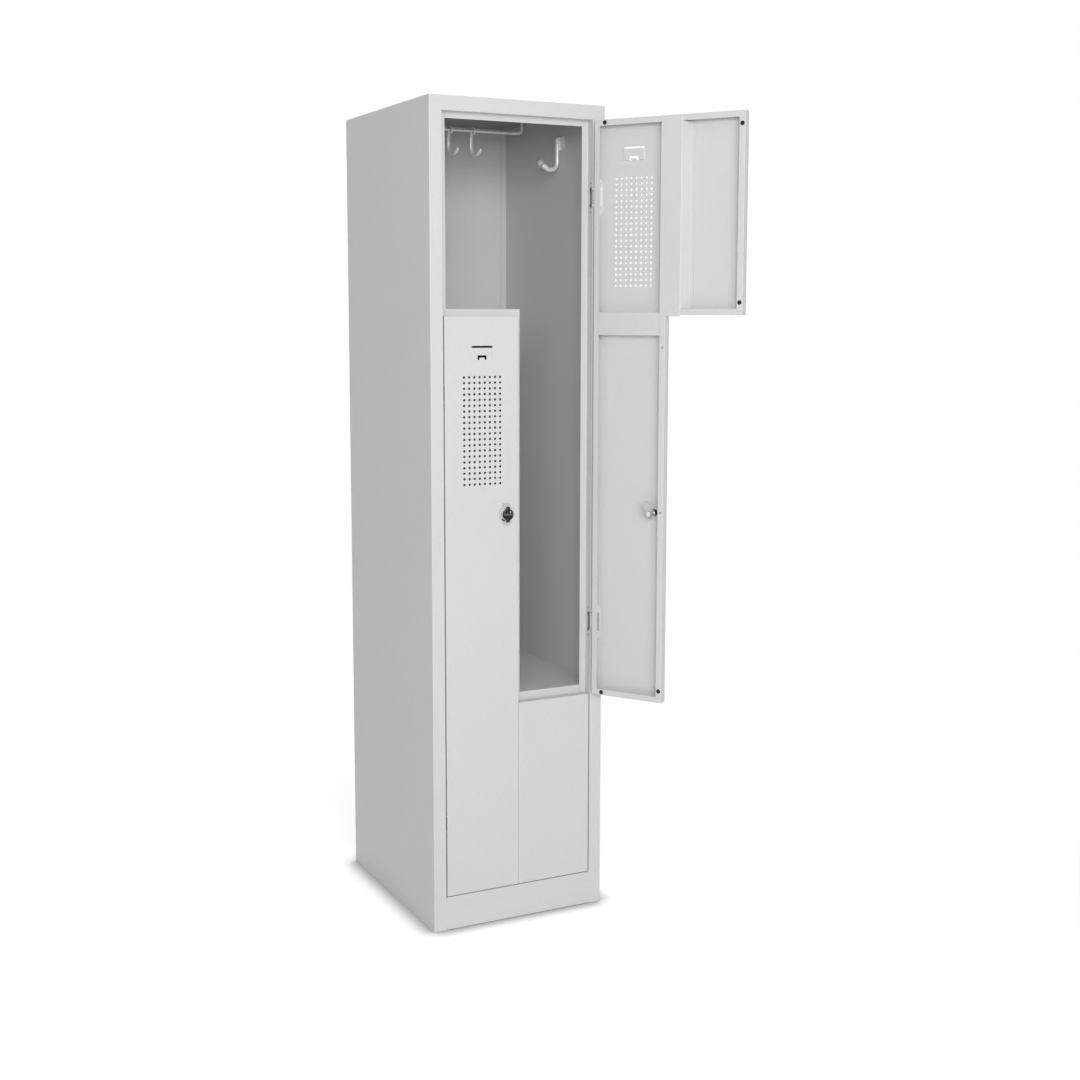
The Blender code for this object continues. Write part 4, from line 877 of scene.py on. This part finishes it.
# Lock roses: a light grey moulded plate with a tab above and below, and a raised collar
# that the knob turns in. A short black arc is printed beside the collar. The plate is clamped
# to the leaf by the lock's barrel.
ROSE_GREY = (0.56, 0.56, 0.56)
ROSE_THICK = 0.0030
ROSE_HALF = 0.0245
ROSE_TAB_HALF = 0.0095
ROSE_RADIUS = 0.018
COLLAR_RADIUS = 0.0135
COLLAR_TALL = 0.0030
SPINDLE_HOLE = 0.0038
MARK_INNER, MARK_OUTER = 0.0142, 0.0170
MARK_FROM, MARK_TO = 218, 250
LOCK_SIDES = 96


def stacked(outline, core, *groups):
    """Closed rings between a core outline and an outer one, as a turned or lobed body.

    Ring k is core + share_k * (outline - core), drawn in by inset_k towards the core, at
    start + depth_k. A group is a start and then its rings, as (share, inset, depth) with the
    last two in millimetres.
    """
    rows = []
    for start, *rings in groups:
        for share, inset, depth in rings:
            ring = core + share * (outline - core)
            size = np.linalg.norm(ring, axis=1, keepdims=True)
            ring = ring * np.clip(1 - inset / 1000 / np.maximum(size, 1e-9), 0, 1)
            rows.append(placed("Y", *ring.T, start + depth / 1000))
    return wrapped(np.stack(rows))


def lock_piece(word, name, part, material, slot, turn=0.0, sharp=32, rides="door"):
    """A piece made about its lock's axis, turned about it and put into its door. It stands for
    the solid of its name, where there is one."""
    points, *rest = part
    x, z = turned(points[:, 0], points[:, 2], -turn)
    points = np.column_stack([x, points[:, 1], z]) + (lock_u, FACE_V, lock_w[word])
    nodes = [node_name for node_name in (f"lock_{name}_{word}",) if node_name in frame["nodes"]]
    door_piece(word, f"{name}_{word}", (points, *rest), material, slot, nodes, sharp, rides)


def polar(radii):
    """Outline from a radius at each of LOCK_SIDES even angles."""
    angles = around(LOCK_SIDES)
    return (circle(angles).T * (radii(angles) if callable(radii) else radii)).T


def soft_box(angles, half_u, half_w, power):
    """Radius of a rounded rectangle: a superellipse with half sizes u and w."""
    u, w = abs(np.cos(angles)) / half_u, abs(np.sin(angles)) / half_w
    return (u ** power + w ** power) ** (-1 / power)


def round_and_tabs(angles, radius, half_u, half_w, power, blend):
    """Radius of a disc with a tab above and below: the power mean of the disc and a rounded
    rectangle, which fills the corner where they meet."""
    return (radius ** blend + soft_box(angles, half_u, half_w, power) ** blend) ** (1 / blend)


def moulded(name, colour):
    """Glass-filled moulding: satin, with a fine even grain."""
    return fine_finish(name, colour, 0.45, 0, ((90, 0.97, 1.03), (1500, 0.97, 1.03)),
                       (400, 0.40, 0.52, 3.0), (1500, 2.0, 0.2, 0.00004))


rose_coat = moulded("light_grey_moulding", ROSE_GREY)
rose_line = polar(lambda a: round_and_tabs(a, ROSE_RADIUS, ROSE_TAB_HALF, ROSE_HALF, 7, 26))
collar_line, hole_line, axle = polar(COLLAR_RADIUS), polar(SPINDLE_HOLE), polar(0.0)
plate_front = -RIM_GAP - ROSE_THICK
collar_front = plate_front - COLLAR_TALL
mark = np.radians(np.linspace(MARK_FROM, MARK_TO, LOCK_SIDES // 2))
mark_line = np.vstack([MARK_OUTER * circle(mark), MARK_INNER * circle(mark[::-1])])
mark_core = np.tile((MARK_OUTER + MARK_INNER) / 2 * circle(mark.mean()), (LOCK_SIDES, 1))
rose = together(
    stacked(rose_line, hole_line, (-RIM_GAP, (0, 0, 0), (1, 0, 0)), (
        plate_front, (1, 0, 1.0), (1, 0.3, 0.4), (1, 1.0, 0), (1, 2.2, 0), (1, 2.6, 0.3),
        (1, 3.0, 0.3))),
    stacked(collar_line, hole_line, (plate_front, (1, 0, 0.3)), (
        collar_front, (1, 0, 0.6), (1, 0.2, 0.2), (1, 0.6, 0), (0, 0, 0)), (-RIM_GAP, (0, 0, 0))),
    stacked(rose_line, collar_line, (plate_front, (1, 3.0, 0.3), (0, 0, 0.3))))
arc_print = stacked(mark_line, mark_core, (
    plate_front, (0, 0, 0.4), (1, 0, 0.4), (1, 0, -0.05), (0, 0, -0.05), (0, 0, 0.4)))
for word, turn in (("left", 0.0), ("right", math.pi)):
    lock_piece(word, "rose", rose, rose_coat, "rose_coat")
    lock_piece(word, "turn_mark", arc_print, rubber, "black_moulding", turn)


# Glide pads: nylon strips pressed onto the straps' leaves beside the bend, so that the strap
# doesn't scrape the stile when the door is lifted by its slack. The upper ones are white and
# the lower ones grey.
PAD_START, PAD_END = 0.0029, 0.0104      # from the leaf's hinge edge
PAD_THICK = 0.0010
PAD_HALF = 0.0208
PAD_BREAK = 0.0003
NYLON_WHITE = (0.93, 0.93, 0.925)
NYLON_GREY = (0.50, 0.50, 0.505)
nylon = {"upper": moulded("white_nylon", NYLON_WHITE), "lower": moulded("grey_nylon", NYLON_GREY)}


def brick(low, high, edge):
    """A box with its edges broken, as rings of eight points between the low and the high end
    of x: each ring's corners are cut at 45 degrees, and the end rings are drawn in."""
    low, high = np.array(low, float), np.array(high, float)
    levels = np.array([low[0], low[0] + edge, high[0] - edge, high[0]])[:, None]
    inset = np.array([edge, 0, 0, edge])[:, None]
    far = np.array([(0, 1, 1, 1, 1, 0, 0, 0), (0, 0, 0, 1, 1, 1, 1, 0)])
    cut = edge * np.array([(1, -1, 0, 0, -1, 1, 0, 0), (0, 0, 1, -1, 0, 0, -1, 1)])
    y, z = (np.where(far[k], high[k + 1] - inset, low[k + 1] + inset) + cut[k] for k in (0, 1))
    rows = np.stack(np.broadcast_arrays(levels, y, z), -1)
    centre = (low + high) / 2
    poles = [np.tile((level, centre[1], centre[2]), (1, 8, 1)) for level in levels[[0, -1], 0]]
    return wrapped(np.concatenate([poles[0], rows, poles[1]]))


on_strap = FACE_V + SHEET + RIM_GAP + STRAP
for word, level, middle in strap_at:
    pad = brick((LEAF_U[0] + PAD_START, on_strap, middle - PAD_HALF),
                (LEAF_U[0] + PAD_END, on_strap + PAD_THICK, middle + PAD_HALF), PAD_BREAK)
    door_piece(word, f"glide_pad_{word}_{level}", pad, nylon[level], "rose_coat", [])


# Lock knobs: black moulded knob with two ears for a padlock and a groove across its front,
# on a spindle that passes through the barrel. A pale index dot is set into its face.
KNOB_RADIUS = 0.0125
KNOB_DEPTH = 0.0050
EAR_HALF = 0.00375
EAR_REACH = 0.0172
GROOVE_HALF = 0.0025
GROOVE_DEEP = 0.0015
GROOVE_WALL = 0.0005
BAND_SHORT, BAND_EASE = 0.0022, 0.0004   # from the band to the knob's edge and the groove's walls
SPINDLE = 0.0035
SPINDLE_SHORT = 0.0022   # from the spindle's end to the cap nut's
DOT_AT = (0.0045, 0.0056)
DOT_RADIUS = 0.00135
LEAN = math.radians(22)
BLACK = (0.010, 0.010, 0.011)
BAND_GREY = (0.12, 0.12, 0.122)
DOT_WHITE = (0.80, 0.80, 0.80)
knob_black = matte_black("black_moulding", BLACK, 0.36, 1200)
band_grey = matte_black("ribbed_grey_insert", BAND_GREY, 0.50, 900)
dot_white = moulded("white_index_paint", DOT_WHITE)
band_line = polar(lambda a: soft_box(a, KNOB_RADIUS - BAND_SHORT, GROOVE_HALF - BAND_EASE, 6))
knob_turn = {"left": 0.0, "right": math.pi + LEAN}
knob_line = polar(lambda a: round_and_tabs(a, KNOB_RADIUS, EAR_HALF, EAR_REACH, 8, 24))
knob_base = collar_front - RIM_GAP
knob_front = knob_base - KNOB_DEPTH
barrel_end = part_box("lock_barrel_left")[1].y - left_low.y
tongue_low, tongue_high = (corner.y - left_low.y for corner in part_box("lock_tongue_left"))
nut_low, nut_end = (corner.y - left_low.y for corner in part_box("lock_nut_left"))
spindle_end = nut_end - SPINDLE_SHORT
spindle = stacked(polar(SPINDLE), axle, (spindle_end, (0, 0, 0), (1, 0, 0)))
skirt = stacked(knob_line, polar(SPINDLE), (spindle_end, (0, 0, 0)), (
    knob_base, (0, 0, 0), (1, 0.4, 0), (1, 0, -0.4)), (knob_front, (1, 0, 2.2), (1, 0.3, 1.4)))
dished = [(share, 0.8 * share, 1.2 * share ** 6 + 0.1) for share in np.linspace(1, 0, 22)]
face, front = stacked(knob_line, axle, (knob_front, (1, 0.3, 1.4), *dished))
groove = np.clip((GROOVE_HALF - abs(face[:, 2])) / GROOVE_WALL, 0, 1)
groove[:LOCK_SIDES] = 0
face[:, 1] += GROOVE_DEEP * groove * groove * (3 - 2 * groove)
knob = together(spindle, skirt, (face, front))
dot, dot_faces = stacked(polar(DOT_RADIUS), axle, (
    knob_front, (0, 0, 0.6), (1, 0, 0.6), (1, 0, -0.05), (0.8, 0, -0.1), (0, 0, -0.1)))
dot += DOT_AT[0], 0, DOT_AT[1]
band = stacked(band_line, axle, (
    knob_front + GROOVE_DEEP, (0, 0, 0), (1, 0, 0), (1, 0, -0.6), (1, 0.3, -0.8), (0, 0, -0.8)))
for word in ("left", "right"):
    for name, part, finish, slot, sharp in (
            ("knob", knob, knob_black, "black_moulding", 40),
            ("index_dot", (dot, dot_faces), dot_white, "rose_coat", 32),
            ("grip_band", band, band_grey, "black_moulding", 32)):
        lock_piece(word, name, part, finish, slot, knob_turn[word], sharp, "lock")


# Lock barrels: chromed tube behind the leaf, with two machined steps and a ring. Oil has
# gathered and darkened in the grooves between them.
CHROME = (0.78, 0.78, 0.79)
OILED = 0.06             # how much of the chrome's tone is left in a groove
BARREL = 0.0095
chrome = fine_finish("bright_chrome", CHROME, 0.14, 1, ((300, 0.95, 1.04),),
                     (260, 0.10, 0.22, 4.0), (2500, 2.0, 0.1, 0.00002), OILED)
barrel_start = SHEET + RIM_GAP
oil = np.repeat([0, 0, 0, 0, 0.3, 1, 1, 0.6, 0, 0, 0.9, 1, 0.2, 0, 0.7, 0], LOCK_SIDES)
tube, faces = stacked(polar(BARREL), hole_line, (barrel_end, (0, 0, 0)), (
    barrel_start, (0, 0, 0), (1, 0, 0), (1, 0, 2.2), (1, 0.4, 2.6), (1, 1.6, 2.8)), (
    barrel_end, (1, 1.6, -9.0), (1, 0.4, -8.6), (1, 0, -8.2), (1, 0, -5.2), (1, 0.8, -4.6),
    (1, 0.8, -3.0), (1, 0.2, -2.6), (1, 0.2, -0.8), (1, 0.8, 0), (0, 0, 0)))
for word in ("left", "right"):
    lock_piece(word, "barrel", (tube, faces[:, ::-1], oil), chrome, "lock_chrome")


# Lock tongues and nuts: a flat steel tongue, coated a little darker than the door, turns
# behind the stop. A chromed cap nut clamps it on the spindle.
TONGUE_GREY = (0.53, 0.533, 0.535)
TONGUE_ROOT, TONGUE_TIP = 0.0070, 0.0095
TONGUE_LONG = 0.0290
NUT = 0.0062
NUT_CROWN = 0.0018
NUT_TOP = 0.9            # the bevelled top's radius, as a share of NUT
turn = np.linspace(0, math.pi, LOCK_SIDES // 2)
tongue_line = np.vstack([TONGUE_TIP * circle(turn) + (0, TONGUE_LONG - TONGUE_TIP),
                         TONGUE_ROOT * circle(turn + math.pi)])
tongue_core = tongue_line / np.linalg.norm(tongue_line, axis=1, keepdims=True) * SPINDLE_HOLE


def hexagon(angles):
    """Radius of a hexagon: the way to its flat, over the cosine of the angle to the flat."""
    return NUT * math.cos(math.pi / 6) / np.cos((angles % (math.pi / 3)) - math.pi / 6)


bevel = polar(lambda a: np.minimum(hexagon(a), NUT * NUT_TOP))
tongue_coat = powder_coat("mid_grey_powder_coat", TONGUE_GREY)
nut_floor = nut_end - NUT_CROWN
oil = np.repeat([0, 1, 1, 0, 0.35, 0, 0, 0, 0], LOCK_SIDES)
tongue, tongue_faces = stacked(tongue_line, tongue_core, (tongue_high, (0, 0, 0)), (
    tongue_low, (0, 0, 0), (1, 0.4, 0), (1, 0, 0.4)), (
    tongue_high, (1, 0, -0.4), (1, 0.4, 0), (0, 0, 0)))
nut, sides = stacked(polar(hexagon), hole_line, (nut_floor, (0, 0, 0)),
                     (nut_low, (0, 0, 0), (1, 0, 0)), (nut_end, (1, 0, -0.7)))
top = stacked(bevel, axle, (nut_end, (1, 0, 0), (0.75, 0, 0), (0, 0, 0)))
floor = stacked(hole_line, axle, (nut_floor, (0, 0, 0), (1, 0, 0)))
rim = np.arange(3 * LOCK_SIDES, 5 * LOCK_SIDES).reshape(2, -1)     # nut's last ring, top's first
cone = np.stack([rim[0], np.roll(rim[0], -1), np.roll(rim[1], -1), rim[1]], -1)
nut, faces = together((nut, np.vstack([sides, cone])), top, floor)
for word in ("left", "right"):
    lock_piece(word, "tongue", (tongue, tongue_faces[:, ::-1]), tongue_coat, "grey_coat",
               knob_turn[word], rides="lock")
    lock_piece(word, "nut", (nut, faces[:, ::-1], oil), chrome, "zinc_steel", knob_turn[word],
               rides="lock")


# Garment rails: 6 mm plated wire, bent up at both ends and welded to the sheet above.
RAIL_RADIUS = 0.003
RAIL_BEND = 0.010


def swept(points, radii, widths, across, sides=20):
    """A wire along a flat path: ring k is path_k + side_k r_k cos t + across w_k sin t, where
    side is square to both the path and the path's flat. Rounded ends close to a pole."""
    points, across = np.asarray(points, float), np.asarray(across, float)
    ways = np.gradient(points, axis=0)
    ways /= np.linalg.norm(ways, axis=1)[:, None]
    quarter = np.linspace(0, math.pi / 2, 5)[:-1]
    cap, reach = np.sin(quarter), 1 - np.cos(quarter)

    def capped(sizes):
        """Sizes along the wire as a column, with a quarter circle at either end."""
        sizes = np.broadcast_to(sizes, len(points))
        return np.concatenate([cap * sizes[0], sizes[1:-1], cap[::-1] * sizes[-1]])[:, None]

    ends = np.broadcast_to(radii, len(points))[[0, -1]]
    path = np.vstack([points[0] + ways[0] * (reach[:, None] * ends[0]), points[1:-1],
                      points[-1] - ways[-1] * (reach[::-1, None] * ends[1])])
    way = np.vstack([np.repeat(ways[:1], 4, 0), ways[1:-1], np.repeat(ways[-1:], 4, 0)])
    side = np.cross(way, across)
    cos, sin = circle(around(sides)).T
    return wrapped(path[:, None] + side[:, None] * (capped(radii) * cos)[..., None]
                   + across * (capped(widths) * sin)[..., None], True)


def arc_line(centre, radius, start, end, steps):
    """Points on a circle between two angles."""
    return centre + radius * circle(np.linspace(start, end, steps + 1))


for level in ("upper", "lower"):
    low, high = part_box(f"garment_rail_{level}")
    y, z = (low.y + high.y) / 2, low.z + RAIL_RADIUS
    middle, end = (low.x + high.x) / 2, (high.x - low.x) / 2 - RAIL_RADIUS
    bend = arc_line((end - RAIL_BEND, z + RAIL_BEND), RAIL_BEND, -math.pi / 2, 0, 12)
    right = np.vstack([(0.0, z), bend, (end, high.z - 2 * RAIL_RADIUS), (end, high.z)])
    path = np.vstack([right[:0:-1] * (-1, 1), right])
    rail = swept(placed("Y", middle + path[:, 0], path[:, 1], y), RAIL_RADIUS, RAIL_RADIUS,
                 (0, 1, 0))
    piece(f"rail_wire_{level}", rail, satin_zinc, "carcass", "zinc_steel",
          [f"garment_rail_{level}"], sharp=60)


# Rail hooks: plated wire, flattened into a blade below its eye, hung over the rail with the
# open bend towards the door. They slide along the rail.
HOOK_EYE = 0.0064
HOOK_WIRE = 0.0029
HOOK_DROP = 0.0545
HOOK_REACH = 0.0185
HOOK_WRAP = math.radians(25)
HOOK_OPEN = math.radians(165)
HOOK_LAP = 0.0065        # how far the eye's end runs on down in front of the rail
HOOK_YAW = math.radians(11)
SHANK_TOP, SHANK_STOP = 0.0040, 0.0020   # from the eye's middle to the shank, and on to the bend
BLADE_HALF = 0.0048
BLADE_THIN = 0.0026, 0.0022              # at its start and at the tip
BLADE_NECK, BLADE_TIP = 0.35, 0.55       # its width before the tip, and at it
lap = HOOK_LAP * np.array([math.sin(HOOK_WRAP), -math.cos(HOOK_WRAP)])
eye = arc_line((0, 0), HOOK_EYE, math.pi + HOOK_WRAP, 0, 22)
eye = np.vstack([eye[0] + lap * np.linspace(1, 0.2, 4)[:, None], eye])
drops = np.linspace(SHANK_TOP, HOOK_DROP - HOOK_REACH - SHANK_STOP, 6)
shank = np.column_stack([np.full(6, HOOK_EYE), -drops])
bend = arc_line((HOOK_EYE - HOOK_REACH, HOOK_REACH - HOOK_DROP), HOOK_REACH, 0, -HOOK_OPEN, 26)
path = np.vstack([eye, shank, bend])
at, last = np.arange(len(path)), len(path) - 1
flat = np.interp(at, (len(eye) - 2, len(eye) + 3, last - 7, last), (0, 1, 1, BLADE_NECK))
width = HOOK_WIRE + (BLADE_HALF - HOOK_WIRE) * flat
width[-1] = BLADE_HALF * BLADE_TIP
thin = np.interp(at, (len(eye) - 2, len(eye) + 3, last), (HOOK_WIRE, *BLADE_THIN))
front = np.array([-math.sin(HOOK_YAW), math.cos(HOOK_YAW), 0])
for level in ("upper", "lower"):
    rail_low, rail_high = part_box(f"garment_rail_{level}")
    for number in (1, 2):
        low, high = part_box(f"rail_hook_{level}_{number}")
        hung = ((low.x + high.x) / 2, (rail_low.y + rail_high.y) / 2, rail_low.z + RAIL_RADIUS)
        hook = swept(hung + path[:, :1] * front + path[:, 1:] * (0, 0, 1), thin, width,
                     (front[1], -front[0], 0))
        piece(f"hook_wire_{level}_{number}", hook, satin_zinc, f"hook_{level}_{number}",
              "zinc_steel", [f"rail_hook_{level}_{number}"], sharp=60)


# Wall hooks: a riveted plate with a folded riser, and a round arm that turns up to a moulded
# ball pressed onto its end. The upper one is on the right side panel and the lower one on
# the left.
HOOK_PLATE = 0.0015
PLATE_WIDE, PLATE_TALL, PLATE_FLANGE = 0.030, 0.030, 0.012
PLATE_BREAK, RISER_BREAK = 0.0004, 0.0010
ARM_RADIUS = 0.0053
ARM_FLARE = 1.18         # the arm thickens towards the ball
ARM_OUT = 0.0075
ARM_DROP = 0.057
ARM_BEND = 0.0175
ARM_OPEN = math.radians(125)
ARM_TIP = 0.0192
ARM_TOP = 0.0006         # from the plate's top to the arm's
BALL = 0.0093
BALL_GREY = (0.44, 0.442, 0.445)
HOOK_BACK = 0.208
ball_grey = moulded("mid_grey_moulding", BALL_GREY)
turn = np.linspace(0, math.pi, 17)
for side, level in ((1, "upper"), (-1, "lower")):
    low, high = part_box(f"wall_hook_{level}")
    wall = high.x if side > 0 else low.x
    y, top = FRONT + HOOK_BACK, high.z
    parts = []
    for near, far, y_low, z_high, edge in (
            (0, HOOK_PLATE, y - PLATE_WIDE / 2 - PLATE_FLANGE, top, PLATE_BREAK),
            (SHEET, ARM_OUT, y - ARM_RADIUS, top - PLATE_BREAK, RISER_BREAK)):
        x_low, x_high = sorted((wall - side * near, wall - side * far))
        parts.append(brick((x_low, y_low, top - PLATE_TALL),
                           (x_high, y + PLATE_WIDE / 2, z_high), edge))
    bend = arc_line((ARM_BEND, top - ARM_DROP), ARM_BEND, math.pi, math.pi + ARM_OPEN, 20)
    out = np.array([math.sin(ARM_OPEN), -math.cos(ARM_OPEN)])
    arm = np.vstack([(0, top - ARM_TOP), (0, top - PLATE_TALL), bend, bend[-1] + out * ARM_TIP / 2,
                     bend[-1] + out * (ARM_TIP - BALL * 0.4)])
    thick = ARM_RADIUS * np.interp(np.arange(len(arm)), (len(arm) - 9, len(arm) - 1),
                                   (1, ARM_FLARE))
    parts.append(swept(placed("Y", wall - side * (ARM_OUT + arm[:, 0]), arm[:, 1], y),
                       thick, thick, (0, 1, 0)))
    piece(f"wall_hook_arm_{level}", together(*parts), satin_zinc, "carcass", "zinc_steel",
          [f"wall_hook_{level}"])
    tip = bend[-1] + out * ARM_TIP
    ball, faces = lathe(BALL * circle(turn - math.pi / 2), 28)
    ball += wall - side * (ARM_OUT + tip[0]), y, tip[1]
    piece(f"wall_hook_ball_{level}", (ball, faces), ball_grey, "carcass", "rose_coat",
          [f"wall_hook_{level}"])


# Studio: a large pale floor that runs out of sight, under a white surround. To the camera,
# and in reflections, the surround is plain white.
FLOOR_REACH = 12.0
FLOOR_WHITE = (0.80, 0.80, 0.80)
FLOOR_LIFT = 0.48        # what the camera sees of the floor is this much lighter
FLOOR_BELOW = 0.0004
CONTACT_REACH, CONTACT_POWER = 0.045, 1.5
SHADOW_NEAR, SHADOW_FAR = 0.7, 1.5       # where the floor's shading fades to plain white
AMBIENT = 0.437          # the surround's light on the object; what the camera sees of it is 1


def seen_share(tree):
    """1 for what the camera sees, also in gloss and through glass, and 0 for other light."""
    ray = node(tree, "LightPath", {}).outputs
    return calc(tree, "MAXIMUM", calc(tree, "MAXIMUM", ray["Is Camera Ray"], ray["Is Glossy Ray"]),
                ray["Is Transmission Ray"])


data = bpy.data.meshes.new("studio_floor")
corner = FLOOR_REACH * np.array([(-1, -1, 0), (1, -1, 0), (1, 1, 0), (-1, 1, 0)])
data.from_pydata((corner - np.array([0, 0, FLOOR_BELOW])).tolist(), [], [(0, 1, 2, 3)])
floor = linked("studio_floor", data)
paper, tree, shader, where = shader_of("white_paper", FLOOR_WHITE, 0.9, 0)
seen = seen_share(tree)
near = node(tree, "AmbientOcclusion", {"Distance": CONTACT_REACH}, samples=16).outputs["AO"]
near = mapped(tree, seen, 1.0, calc(tree, "POWER", near, CONTACT_POWER))
tinted(tree, shader, FLOOR_WHITE, (near,))
lift = calc(tree, "MULTIPLY", calc(tree, "MULTIPLY", seen, near), FLOOR_LIFT)
shader.inputs["Emission Color"].default_value = (1, 1, 1, 1)
tree.links.new(lift, shader.inputs["Emission Strength"])
away = node(tree, "VectorMath", {0: where}, operation="LENGTH").outputs["Value"]
away = mapped(tree, away, 0.0, 1.0, SHADOW_NEAR, SHADOW_FAR, interpolation_type="SMOOTHSTEP")
white = node(tree, "Emission", {"Color": (1, 1, 1, 1), "Strength": 1.0})
surface = node(tree, "MixShader", {
    0: calc(tree, "MULTIPLY", seen, away), 1: shader.outputs["BSDF"],
    2: white.outputs["Emission"]})
tree.links.new(surface.outputs["Shader"], tree.nodes["Material Output"].inputs["Surface"])
data.materials.append(paper)

world = bpy.data.worlds.new("studio_surround")
world.use_nodes = True
bpy.context.scene.world = world
tree = world.node_tree
background = tree.nodes["Background"]
background.inputs["Color"].default_value = (1, 1, 1, 1)
tree.links.new(mapped(tree, seen_share(tree), AMBIENT, 1.0), background.inputs["Strength"])


# Lamps: two large softboxes in front of the locker and at its left, above eye level, so that
# they reach into the open compartment, and a weaker one behind it.
def softbox(name, place, target, size, power):
    """A square area lamp that faces a point."""
    data = bpy.data.lights.new(name, "AREA")
    data.shape = "RECTANGLE"
    data.size, data.size_y = size
    data.energy = power
    lamp = linked(name, data)
    way = Vector(target) - Vector(place)
    lamp.rotation_euler = way.to_track_quat("-Z", "Y").to_euler()
    lamp.location = place


softbox("front_box", (-0.8, -3.9, 2.0), (0.0, 0.2, 0.9), (2.2, 1.6), 58)
softbox("left_box", (-1.9, -3.5, 2.2), (0.0, 0.2, 0.9), (1.8, 1.6), 41)
softbox("back_box", (2.4, 3.6, 2.6), (0.0, 0.3, 0.9), (2.0, 1.6), 30)


# Camera: at the photograph's place, in front of the locker's left corner and a little above
# its middle, looking slightly down.
camera_data = bpy.data.cameras.new("camera")
camera_data.sensor_width = 36
camera_data.lens = 50.951
camera_data.shift_y = -0.037
camera = linked("camera", camera_data)
camera.location = (-1.457, -2.989, 1.3539)
camera.rotation_euler = (math.radians(83.003), math.radians(-0.095), math.radians(-26.853))
bpy.context.scene.camera = camera
bpy.context.scene.view_settings.view_transform = "Standard"
